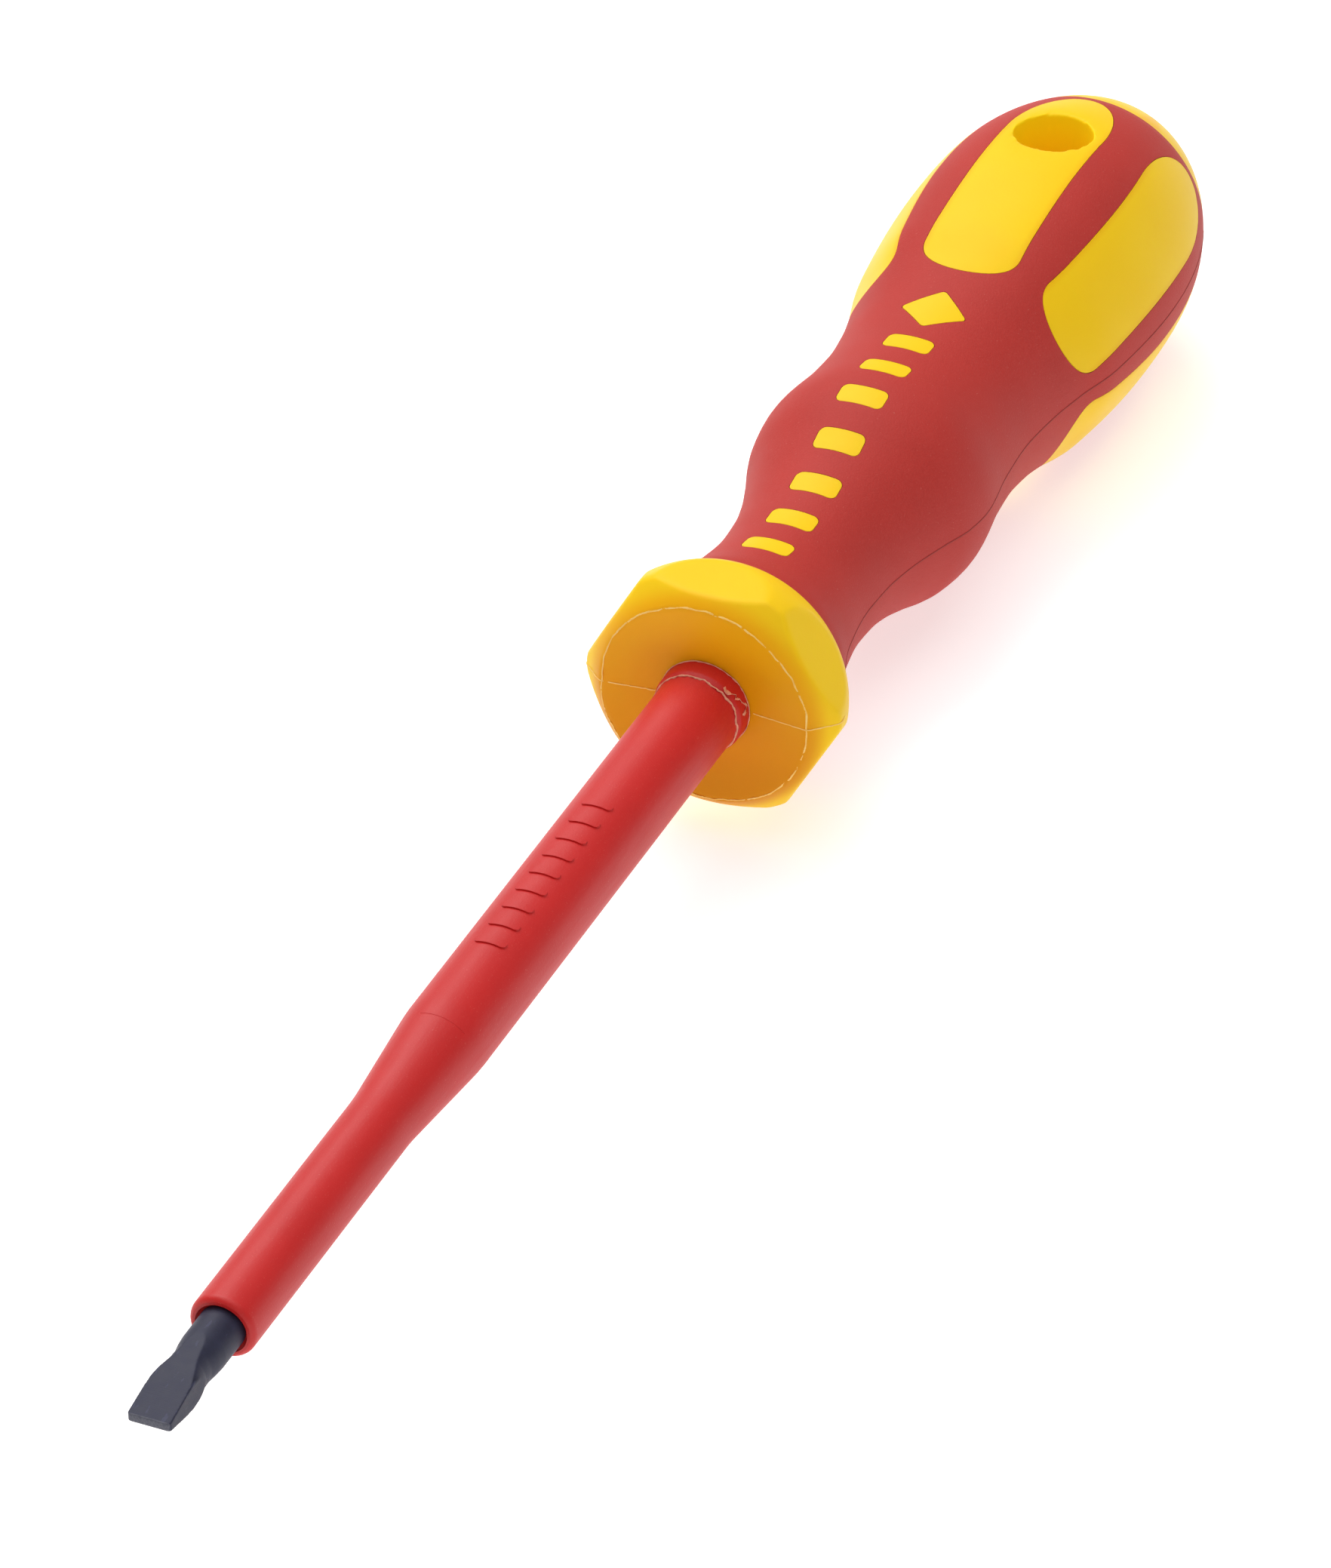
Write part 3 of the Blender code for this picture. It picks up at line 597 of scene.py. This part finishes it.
# ---------------------------------------------------------------- pieces
class SCREWDRIVER_OT_blade(bpy.types.Operator):
    """Model the steel blade with its ground tip and winged tang"""
    bl_idname = "screwdriver.blade"
    bl_label = "Blade"

    def execute(self, context):
        sizes = context.scene.driver_blade
        shank = self.bar("shank", TANG_X, LIP_X - 3 * MM, sizes)
        self.shape_tang(shank, sizes)
        tip = self.bar("tip", LIP_X - 6 * MM, TIP_X, sizes)
        self.grind_tip(tip, sizes)
        self.trim_sides(tip, sizes)
        change(tip, "REMESH", mode="VOXEL", voxel_size=0.08 * MM)
        change(tip, "SMOOTH", factor=0.5, iterations=5)
        blade = join([shank, tip], "fine_blade")
        smooth(blade, 60)
        finish_piece(blade, steel_finish(context.scene.driver_colours), "blade")
        return {"FINISHED"}

    def bar(self, name, start, end, sizes):
        """A length of the round steel."""
        deselect()
        bpy.ops.mesh.primitive_cylinder_add(
            vertices=BLADE_STEPS, radius=sizes.shank, depth=end - start,
            location=((end + start) / 2, 0, AXIS_Z), rotation=(0, math.pi / 2, 0))
        return settle(bpy.context.object, name)

    def shape_tang(self, blade, sizes):
        """Flatten two pairs of wings on the tang."""
        lead, runout, flat = 2 * MM, 3 * MM, 8 * MM
        for start in (TANG_X + lead, FACE_X - 36.1 * MM):
            places = [start, start + runout, start + runout + flat, start + 2 * runout + flat]
            for x in places:
                edit(blade)
                bpy.ops.mesh.select_all(action="SELECT")
                bpy.ops.mesh.bisect(plane_co=(x, 0, AXIS_Z), plane_no=(1, 0, 0))
            edit(blade, "VERT")
            pick(blade, "vertices", lambda c: places[1] - NEAR < c.x < places[2] + NEAR)
            scale = (1, sizes.wing_width / sizes.shank / 2, sizes.wing_thickness / sizes.shank / 2)
            bpy.ops.transform.resize(value=scale, center_override=AXIS)
        deselect()

    def grind_tip(self, blade, sizes):
        """Pinch a waist, swell the end and grind the two flats."""
        start = TIP_X - sizes.wedge
        waist = TIP_X - sizes.waist_place
        pinch = sizes.waist_width / sizes.shank / 2
        widths = ((start, 1.0), ((start + waist) / 2, (1 + pinch) / 2), (waist, pinch),
                  (waist + 1.0 * MM, 1.0), (waist + 2.2 * MM, 1.16), (TIP_X, 1.3))
        for x, width in widths:
            edit(blade)
            if x < TIP_X:
                bpy.ops.mesh.select_all(action="SELECT")
                bpy.ops.mesh.bisect(plane_co=(x, 0, AXIS_Z), plane_no=(1, 0, 0))
            edit(blade, "VERT")
            pick(blade, "vertices", lambda c, at=x: abs(c.x - at) < NEAR)
            bpy.ops.transform.resize(value=(1, width, 1), center_override=AXIS)
        deselect()
        end = (TIP_X, sizes.tip_thickness / 2)
        bend = (TIP_X - sizes.facet, sizes.facet_thickness / 2)
        for side in (1, -1):
            self.grind(blade, (start, sizes.shank), bend, side)
            self.grind(blade, bend, end, side)

    def grind(self, blade, back, front, side):
        """Grind one flat, through two points given by place and height over the axis."""
        long, wide, high = 16 * MM, 10 * MM, 6 * MM
        slope = math.atan2(back[1] - front[1], front[0] - back[0])
        along, away = long / 4, high / 2
        x = back[0] + along * math.cos(slope) + away * math.sin(slope)
        rise = back[1] - along * math.sin(slope) + away * math.cos(slope)
        bpy.ops.mesh.primitive_cube_add(
            size=1, location=(x, 0, AXIS_Z + side * rise), scale=(long, wide, high),
            rotation=(0, side * slope, 0))
        cut(blade, settle(bpy.context.object, "wheel"), "DIFFERENCE")

    def trim_sides(self, tip, sizes):
        """Trim the end's two sides to their width and round its corners."""
        half = sizes.tip_width / 2
        template = block("template", (LIP_X - 9 * MM, -half, AXIS_Z - 3 * MM),
                         (TIP_X, half, AXIS_Z + 3 * MM))
        round_upright(template, lambda c: c.x > TIP_X - 1e-5 and abs(c.z - AXIS_Z) < 1e-5,
                      sizes.tip_corner, 6)
        waist = TIP_X - sizes.waist_place
        for x in (waist - 2.5 * MM, waist):
            edit(template)
            bpy.ops.mesh.select_all(action="SELECT")
            bpy.ops.mesh.bisect(plane_co=(x, 0, AXIS_Z), plane_no=(1, 0, 0))
        for test, width in ((lambda c: c.x < waist - NEAR, 1.15),
                            (lambda c: abs(c.x - waist) < NEAR, 0.5 * sizes.waist_width / half)):
            edit(template, "VERT")
            pick(template, "vertices", test)
            bpy.ops.transform.resize(value=(1, width, 1), center_override=AXIS)
        cut(tip, template, "INTERSECT")


class SCREWDRIVER_OT_insulation(bpy.types.Operator):
    """Model the stepped insulation, its raised bars, witness line and flash"""
    bl_idname = "screwdriver.insulation"
    bl_label = "Insulation"

    def execute(self, context):
        sizes = context.scene.driver_blade
        sleeve = lathe("fine_sleeve", self.outline(sizes), BLADE_STEPS)
        smooth(sleeve)
        material = insulation_finish(context.scene.driver_colours)
        finish_piece(sleeve, material, "blade_sleeve")
        self.marks(sizes, material)
        self.witness_line(sizes, material)
        self.root_flash(sizes, flash_finish("peach_flash", (0.62, 0.15, 0.09),
                                            (0.92, 0.50, 0.33)))
        return {"FINISHED"}

    def outside(self, sizes, reach):
        """Radius of the insulation at a distance from the guard's face."""
        back, front = sizes.taper_back, sizes.taper_front
        share = min(max((reach - back) / (front - back), 0.0), 1.0)
        straight = sizes.root + (sizes.nose - sizes.root) * share
        near = min(abs(reach - back), abs(reach - front))
        rounding = 0.022 * MM * max(1 - near / (0.9 * MM), 0.0) ** 2
        return straight + (rounding if reach > (back + front) / 2 else -rounding)

    def outline(self, sizes):
        """Closed half outline: open end, nose, taper, collar, grooved root and bore."""
        lip = sizes.lip_round
        mouth = sizes.shank + 0.42 * MM
        points = arc(LIP_X - 0.08 * MM, mouth + 0.08 * MM, 0.08 * MM, -60, 0, 3)
        points += arc(LIP_X - lip, sizes.nose - lip, lip, 0, 90, 10)
        stops = spread(LIP_X - lip, FACE_X + sizes.taper_front + 1.2 * MM, 1.2 * MM)[1:]
        stops += spread(stops[-1] - 0.2 * MM, FACE_X + sizes.taper_back - 1.2 * MM, 0.25 * MM)
        stops += spread(stops[-1] - 0.4 * MM, FACE_X + 1.5 * MM, 1.6 * MM)
        points += [(x, self.outside(sizes, x - FACE_X)) for x in stops]
        rise = sizes.collar - sizes.root
        points += [(FACE_X + 1.35 * MM, sizes.root + rise * 0.15),
                   (FACE_X + 1.15 * MM, sizes.root + rise * 0.75),
                   (FACE_X + 0.85 * MM, sizes.collar), (FACE_X - 1.8 * MM, sizes.collar),
                   (FACE_X - 1.8 * MM, sizes.root)]
        for start in (FACE_X - 6.7 * MM, FACE_X - 12.6 * MM):
            points += [(start, sizes.root), (start, sizes.root - 0.7 * MM),
                       (start - 2 * MM, sizes.root - 0.7 * MM), (start - 2 * MM, sizes.root)]
        bore = sizes.shank - 0.01 * MM
        points += [(ROOT_X, sizes.root), (ROOT_X, bore), (LIP_X - 0.38 * MM, bore)]
        return points + [points[0]]

    def marks(self, sizes, material):
        """A row of plain raised bars along the top of the thick part."""
        reach = [FACE_X + at for at in spread(20.5 * MM, 40.5 * MM,
                                              20 * MM / (sizes.mark_count - 1) + NEAR)]
        bars = []
        for x in reach:
            bar = block("mark", (x - 0.45 * MM, -1.35 * MM, AXIS_Z + 3.0 * MM),
                        (x + 0.45 * MM, 1.35 * MM, AXIS_Z + 5.0 * MM))
            round_upright(bar, lambda c: abs(c.z - AXIS_Z - 4.0 * MM) < 1e-5, 0.4 * MM, 5)
            bars.append(bar)
        bars = join(bars, "sleeve_marks")
        top = [(x, self.outside(sizes, x - FACE_X) + sizes.mark_height)
               for x in spread(FACE_X + 44 * MM, FACE_X + 16 * MM, 1 * MM)]
        skin = lathe("skin", [(top[0][0], 0.0)] + top + [(top[-1][0], 0.0)], 160)
        cut(bars, skin, "INTERSECT")
        smooth(bars)
        finish_piece(bars, material)

    def witness_line(self, sizes, material):
        """Faint raised line, part of the way round, where the mould's insert ended."""
        x = FACE_X + 50.8 * MM
        radius = self.outside(sizes, x - FACE_X)
        line = lathe("witness_line", [(x - 0.10 * MM, radius - 0.1 * MM), (x, radius + 0.03 * MM),
                                      (x + 0.10 * MM, radius - 0.1 * MM),
                                      (x - 0.10 * MM, radius - 0.1 * MM)], 180)
        wedge = block("wedge", (x - MM, -1.2 * MM, AXIS_Z), (x + MM, 2.6 * MM, AXIS_Z + 5 * MM))
        cut(line, wedge, "INTERSECT")
        smooth(line)
        finish_piece(line, material)

    def root_flash(self, sizes, material):
        """Thin ragged flash round the front of the collar, with a torn curl on one side."""
        rings = [self.thread(FACE_X + 1.42 * MM, sizes.root + 0.07 * MM, 0.085 * MM, 0.8 * MM),
                 self.thread(FACE_X - 0.46 * MM, sizes.collar + 0.04 * MM, 0.05 * MM, 0.15 * MM),
                 self.thread(FACE_X + 0.65 * MM, sizes.collar + 0.01 * MM, 0.08 * MM, 4.0 * MM)]
        wedge = block("wedge", (FACE_X - MM, 2.0 * MM, AXIS_Z + 0.4 * MM),
                      (FACE_X + 2 * MM, 5 * MM, AXIS_Z + 3.1 * MM))
        cut(rings[2], wedge, "INTERSECT")
        flash = join(rings, "root_flash")
        smooth(flash, 60)
        finish_piece(flash, material)

    def thread(self, x, radius, thickness, wander):
        """A ring of ragged thread about the tool's axis."""
        deselect()
        bpy.ops.mesh.primitive_torus_add(
            location=(x, 0, AXIS_Z), rotation=(0, math.pi / 2, 0), major_segments=300,
            minor_segments=8, major_radius=radius, minor_radius=thickness)
        ring = settle(bpy.context.object, "thread")
        for scale, strength, direction in ((1.3, wander, "X"), (0.5, wander * 0.35, "X"),
                                           (0.5, 0.13 * MM, "NORMAL")):
            clouds = bpy.data.textures.new("ragged", "CLOUDS")
            clouds.noise_scale = scale * MM
            change(ring, "DISPLACE", texture=clouds, strength=strength, mid_level=0.5,
                   direction=direction, texture_coords="LOCAL")
        return ring


class SCREWDRIVER_OT_guard(bpy.types.Operator):
    """Model the six-sided guard with its dished face, chamfer, rounded back and flash"""
    bl_idname = "screwdriver.guard"
    bl_label = "Guard"

    def execute(self, context):
        sizes = context.scene.driver_handle
        root = context.scene.driver_blade
        guard = self.bar(sizes)
        cut(guard, lathe("turning", self.outline(sizes), 160), "INTERSECT")
        change(guard, "REMESH", mode="VOXEL", voxel_size=0.2 * MM)
        change(guard, "SMOOTH", factor=0.5, iterations=14)
        bore = root.collar + 0.02 * MM
        ends = (FACE_X + 5 * MM, FACE_X - 20 * MM)
        drill = lathe("drill", [(ends[0], 0.0), (ends[0], bore), (ends[1], bore), (ends[1], 0.0)],
                      BLADE_STEPS)
        cut(guard, drill, "DIFFERENCE")
        smooth(guard, 40)
        material = body_finish(context.scene.driver_colours)
        self.flash(guard, sizes, flash_finish("pale_flash", (0.95, 0.50, 0.03),
                                              (0.98, 0.74, 0.27)))
        finish_piece(guard, material)
        return {"FINISHED"}

    def bar(self, sizes):
        """Hexagonal bar with rounded corners."""
        deselect()
        middle = FACE_X - sizes.guard_length / 2
        bpy.ops.mesh.primitive_cylinder_add(
            vertices=6, radius=sizes.guard_flats / 2 / math.cos(math.pi / 6),
            depth=sizes.guard_length + 4 * MM, location=(middle, 0, AXIS_Z),
            rotation=(0, math.pi / 2, 0))
        bar = settle(bpy.context.object, "fine_guard")
        if max(v.co.z for v in bar.data.vertices) > AXIS_Z + sizes.guard_flats / 2 + 1e-5:
            turn(bar, 30)
        inner = sizes.guard_corner * math.tan(math.pi / 6)
        edit(bar)
        pick(bar, "edges", lambda c: abs(c.x - middle) < 1e-5)
        bpy.ops.mesh.bevel(offset=inner, segments=8, profile=0.5)
        deselect()
        return bar

    def outline(self, sizes):
        """Turned half outline of the guard."""
        depth = sizes.guard_dish
        chamfer = 1.95 * MM
        crest = sizes.guard_crest
        points = [(FACE_X - depth, 0.0), (FACE_X - depth, 3.9 * MM),
                  (FACE_X, sizes.guard_face), (FACE_X - chamfer, crest)]
        back = 8.9 * MM
        for drop in spread(0, sizes.guard_length - chamfer, 0.5 * MM)[1:]:
            points.append((FACE_X - chamfer - drop,
                           crest - back + math.sqrt(back ** 2 - drop ** 2)))
        return points + [(FACE_X - sizes.guard_length, 0.0)]

    def flash(self, guard, sizes, material):
        """Broken pale lines that the mould left on the face: one round it, one across it."""
        ring = sizes.guard_face - 0.02 * MM
        grown = copy_of(guard, "face_ring")
        clouds = bpy.data.textures.new("broken", "CLOUDS")
        clouds.noise_scale = 0.6 * MM
        change(grown, "DISPLACE", texture=clouds, strength=0.22 * MM, mid_level=0.36)
        across = copy_of(grown, "face_line")
        half = 0.055 * MM
        tube = lathe("tube", [(FACE_X + MM, ring - half), (FACE_X + MM, ring + half),
                              (FACE_X - 1.5 * MM, ring + half), (FACE_X - 1.5 * MM, ring - half),
                              (FACE_X + MM, ring - half)], 240)
        for scale, strength, direction in ((3.0, 0.9, "Y"), (3.5, 0.9, "Z"), (0.7, 0.25, "Z")):
            clouds = bpy.data.textures.new("wander", "CLOUDS")
            clouds.noise_scale = scale * MM
            change(tube, "DISPLACE", texture=clouds, strength=strength * MM, mid_level=0.5,
                   direction=direction)
        cut(grown, tube, "INTERSECT")
        bars = []
        for low, high in ((4.3, 13.0), (-13.0, -4.3)):
            bars.append(block("bar", (FACE_X - 3.2 * MM, low * MM, AXIS_Z - 0.045 * MM),
                              (FACE_X + MM, high * MM, AXIS_Z + 0.045 * MM)))
        cut(across, join(bars, "bars"), "INTERSECT")
        for line in (grown, across):
            smooth(line, 60)
            finish_piece(line, material)


def window_prisms(sizes, growth):
    """Six rounded windows and the row of inlays, as prisms that pass through the surface."""
    rear = BUTT_X + sizes.window_rear
    front = rear + sizes.window_length
    half = sizes.window_width / 2 + growth
    low, high = AXIS_Z + 4.7 * MM, AXIS_Z + 16 * MM
    tail, nose = rear + sizes.window_tail, front - sizes.window_nose
    window = block("window", (tail - half, -half, low), (nose + half, half, high))
    round_upright(window, lambda c: abs(c.z - (low + high) / 2) < 1e-5, half * 0.999, 16)
    for centre, reach, side in ((tail, sizes.window_tail, -1), (nose, sizes.window_nose, 1)):
        edit(window, "VERT")
        pick(window, "vertices", lambda c: (c.x - centre) * side > NEAR)
        bpy.ops.transform.resize(value=((reach + growth) / half, 1, 1),
                                 center_override=(centre, 0, AXIS_Z))
    windows = [window] + [turn(copy_of(window, "window"), 60 * i) for i in range(1, 6)]
    return windows + inlay_prisms(sizes, growth, front, low, high)


def inlay_prisms(sizes, growth, window_front, low, high):
    """Plain bars in a row along the top of the grip, and a lozenge behind them."""
    first = FACE_X - 13.5 * MM
    last = window_front + 11 * MM
    pitch = (last - first) / (sizes.bar_count - 1)
    made = []
    for index in range(sizes.bar_count):
        x = first + pitch * index
        half = (sizes.bar_length / 2 + growth, sizes.bar_width / 2 + growth)
        bar = block("inlay", (x - half[0], -half[1], low), (x + half[0], half[1], high))
        round_upright(bar, lambda c: abs(c.z - (low + high) / 2) < 1e-5, 0.6 * MM + growth, 6)
        made.append(bar)
    x = window_front + 5.5 * MM
    half = (2.6 * MM + growth * 1.4, 3.0 * MM + growth * 1.4)
    deselect()
    bpy.ops.mesh.primitive_cylinder_add(vertices=4, radius=1.0, depth=high - low,
                                        location=(x, 0, (low + high) / 2))
    bpy.context.object.scale = (*half, 1.0)
    lozenge = settle(bpy.context.object, "inlay")
    round_upright(lozenge, lambda c: abs(c.z - (low + high) / 2) < 1e-5, 0.35 * MM, 5)
    return made + [lozenge]


def outer_form(sizes, name, growth=0.0):
    """The handle's whole outer form behind the guard, as a solid."""
    widest = HANDLE_LENGTH - sizes.butt
    stations = spread(GRIP_FRONT, widest, 0.9 * MM)[:-1]
    stations += [widest + sizes.butt * math.sin(math.radians(90 * i / 26)) for i in range(27)]
    points = [(FACE_X - at, handle_radius(sizes, at) + growth) for at in stations[:-1]]
    points += [(BUTT_X - growth, 0.0)]
    form = lathe(name, [(FACE_X - GRIP_FRONT, 0.0)] + points, FINE_STEPS)
    facet(form, sizes, RIB_START)
    return form


class SCREWDRIVER_OT_body(bpy.types.Operator):
    """Model the hard handle body with its window pads, inlays, butt and hang hole"""
    bl_idname = "screwdriver.body"
    bl_label = "Handle body"

    def execute(self, context):
        sizes = context.scene.driver_handle
        body = lathe("fine_body", self.outline(sizes), FINE_STEPS)
        facet(body, sizes, GRIP_REAR)
        pads = join(window_prisms(sizes, 0.0), "pads")
        cut(pads, outer_form(sizes, "skin"), "INTERSECT")
        cut(body, pads, "UNION")
        cut(body, self.drill(sizes), "DIFFERENCE")
        self.ease_mouths(body, sizes)
        smooth(body)
        material = body_finish(context.scene.driver_colours, "yellow_body")
        finish_piece(body, material, "handle_body")
        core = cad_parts["anchor_core"]
        core.data.materials.clear()
        core.data.materials.append(core_finish(context.scene.driver_colours))
        return {"FINISHED"}

    def outline(self, sizes):
        """Half outline below the grip, rising to the outer form at the butt."""
        inner = [(FACE_X - at, handle_radius(sizes, max(at, GRIP_FRONT)) - sizes.wall - 0.1 * MM)
                 for at in spread(5 * MM, GRIP_REAR + sizes.seam, 2.0 * MM)]
        rim = GRIP_REAR + sizes.seam
        stations = [rim + (HANDLE_LENGTH - rim) * math.sin(math.radians(90 * i / 20))
                    for i in range(21)]
        outer = [(FACE_X - at, handle_radius(sizes, at)) for at in stations[:-1]]
        return [(FACE_X - 5 * MM, 0.0)] + inner + outer + [(BUTT_X, 0.0)]

    def drill(self, sizes):
        """Bar for the hang hole, with close rings where it meets the surface."""
        reach = sizes.bulb + 2 * MM
        rings = [reach] + spread(sizes.bulb, sizes.bulb - 3 * MM, 0.25 * MM)
        rings += [-at for at in reversed(rings)]
        x = BUTT_X + sizes.hole_place
        deselect()
        bpy.ops.mesh.primitive_cylinder_add(vertices=BLADE_STEPS, radius=sizes.hole, depth=MM,
                                            location=(x, 0, AXIS_Z + reach + MM / 2))
        drill = settle(bpy.context.object, "drill")
        edit(drill, "FACE")
        pick(drill, "polygons", lambda c: c.z < AXIS_Z + reach + NEAR)
        for above, below in zip(rings, rings[1:]):
            bpy.ops.mesh.extrude_region_move(
                TRANSFORM_OT_translate={"value": (0, 0, below - above)})
        deselect()
        return drill

    def ease_mouths(self, body, sizes):
        """Round the two mouths of the hang hole."""
        x = BUTT_X + sizes.hole_place

        def near(point, reach):
            away = math.hypot(point.x - x, point.y) - sizes.hole
            return abs(point.z - AXIS_Z) > sizes.bulb - 2.6 * MM and -MM < away < reach

        edit(body, "FACE")
        pick(body, "polygons", lambda c: near(c, 1.4 * MM))
        bpy.ops.mesh.quads_convert_to_tris()
        bpy.ops.mesh.subdivide(number_cuts=2)
        edit(body)
        bpy.ops.mesh.edges_select_sharp(sharpness=math.radians(50))
        deselect()
        rim = {i for e in body.data.edges if e.select for i in e.vertices}
        corners = [body.data.vertices[i].co.copy() for i in rim]
        corners = [corner for corner in corners if near(corner, 0.1 * MM)]
        group = body.vertex_groups.new(name="mouths")
        for vertex in body.data.vertices:
            if near(vertex.co, 1.2 * MM):
                away = min((vertex.co - corner).length for corner in corners)
                group.add([vertex.index], 1 - ease(away, 0.35 * MM, 1.0 * MM), "REPLACE")
        change(body, "SMOOTH", factor=0.5, iterations=60, vertex_group="mouths")


class SCREWDRIVER_OT_grip(bpy.types.Operator):
    """Model the soft grip with its openings and its mould seam"""
    bl_idname = "screwdriver.grip"
    bl_label = "Soft grip"

    def execute(self, context):
        sizes = context.scene.driver_handle
        grip = lathe("fine_grip", self.outline(sizes), FINE_STEPS)
        facet(grip, sizes, RIB_START)
        seam = copy_of(grip, "grip_seam")
        cut(grip, join(window_prisms(sizes, sizes.seam), "openings"), "DIFFERENCE")
        smooth(grip)
        finish_piece(grip, grip_finish(context.scene.driver_colours),
                     "soft_grip")
        change(seam, "DISPLACE", strength=0.03 * MM, mid_level=0.0)
        blades = [block("blade", (FACE_X - GRIP_REAR + MM, low * MM, AXIS_Z - 0.05 * MM),
                        (FACE_X - GRIP_FRONT - 0.8 * MM, high * MM, AXIS_Z + 0.05 * MM))
                  for low, high in ((3, 16), (-16, -3))]
        cut(seam, join(blades, "blades"), "INTERSECT")
        smooth(seam)
        finish_piece(seam, seam_finish(context.scene.driver_colours))
        return {"FINISHED"}

    def outline(self, sizes):
        """Closed half outline of the grip's wall, with an eased rear end."""
        front = sizes.guard_length - 0.5 * MM
        stations = spread(front, GRIP_REAR - 0.1 * MM, 0.9 * MM)
        points = [(FACE_X - at, handle_radius(sizes, at)) for at in stations]
        last = points[-1]
        points += [(last[0] - 0.1 * MM, last[1] - 0.1 * MM)]
        inside = [(FACE_X - at, handle_radius(sizes, at) - sizes.wall)
                  for at in spread(GRIP_REAR, front, 2.5 * MM)]
        points += inside
        return points + [points[0]]


class SCREWDRIVER_OT_stage(bpy.types.Operator):
    """Lay the floor and set the lights, the surroundings and the camera"""
    bl_idname = "screwdriver.stage"
    bl_label = "Stage"

    def execute(self, context):
        colours = context.scene.driver_colours
        floor = block("floor", (-2.5, -2.5, -0.02), (2.5, 2.5, -0.0001))
        round_upright(floor, lambda c: abs(c.z + 0.01) < 0.001, 0.2, 8)
        floor.data.materials.append(floor_finish(colours))
        self.surroundings(context.scene)
        self.light("key_softbox", (-0.45, -0.60, 0.95), 1.0, 10.0)
        self.light("top_softbox", (0.0, 0.0, 1.1), 1.2, 6.2)
        self.light("fill_softbox", (0.9, 0.5, 0.35), 0.9, 0.4)
        camera = bpy.data.cameras.new("camera")
        camera.lens = 206.5
        camera.sensor_width = 36.0
        camera.clip_end = 20.0
        made = bpy.data.objects.new("camera", camera)
        made.location = (0.54506, 0.25316, 0.43450)
        made.rotation_euler = [math.radians(a) for a in (54.5696, 1.1137, 114.3004)]
        context.scene.collection.objects.link(made)
        context.scene.camera = made
        return {"FINISHED"}

    def surroundings(self, scene):
        """Even pale light from all round."""
        world = bpy.data.worlds.new("studio")
        world.use_nodes = True
        backdrop = world.node_tree.nodes["Background"]
        backdrop.inputs["Color"].default_value = (1.0, 1.0, 1.0, 1.0)
        backdrop.inputs["Strength"].default_value = 0.30
        scene.world = world
        scene.view_settings.view_transform = "Standard"

    def light(self, name, place, size, power):
        """A square softbox that faces the tool."""
        lamp = bpy.data.lights.new(name, "AREA")
        lamp.size = size
        lamp.energy = power
        made = bpy.data.objects.new(name, lamp)
        made.location = place
        made.rotation_euler = made.location.to_track_quat("Z", "Y").to_euler()
        bpy.context.scene.collection.objects.link(made)


class SCREWDRIVER_PT_panel(bpy.types.Panel):
    """Sidebar list of the pieces and their settings"""
    bl_idname = "SCREWDRIVER_PT_panel"
    bl_label = "Screwdriver"
    bl_space_type = "VIEW_3D"
    bl_region_type = "UI"
    bl_category = "Screwdriver"

    def draw(self, context):
        for title, group in (("Blade", context.scene.driver_blade),
                             ("Handle", context.scene.driver_handle),
                             ("Colours", context.scene.driver_colours)):
            box = self.layout.box()
            box.label(text=title)
            for name in type(group).__annotations__:
                box.prop(group, name)
        for operator in OPERATORS:
            self.layout.operator(operator.bl_idname)


OPERATORS = (SCREWDRIVER_OT_blade, SCREWDRIVER_OT_insulation, SCREWDRIVER_OT_guard,
             SCREWDRIVER_OT_body, SCREWDRIVER_OT_grip, SCREWDRIVER_OT_stage)
GROUPS = {"driver_blade": BladeSizes, "driver_handle": HandleSizes, "driver_colours": Colours}


def register():
    """Register the settings, the operators and the panel."""
    for name, group in GROUPS.items():
        bpy.utils.register_class(group)
        setattr(bpy.types.Scene, name, PointerProperty(type=group))
    for operator in OPERATORS:
        bpy.utils.register_class(operator)
    bpy.utils.register_class(SCREWDRIVER_PT_panel)


def unregister():
    """Remove the panel, the operators and the settings."""
    bpy.utils.unregister_class(SCREWDRIVER_PT_panel)
    for operator in reversed(OPERATORS):
        bpy.utils.unregister_class(operator)
    for name, group in GROUPS.items():
        delattr(bpy.types.Scene, name)
        bpy.utils.unregister_class(group)


def main():
    """Build every piece and the stage."""
    register()
    bpy.ops.screwdriver.blade()
    bpy.ops.screwdriver.insulation()
    bpy.ops.screwdriver.guard()
    bpy.ops.screwdriver.body()
    bpy.ops.screwdriver.grip()
    bpy.ops.screwdriver.stage()


if __name__ == "__main__":
    main()
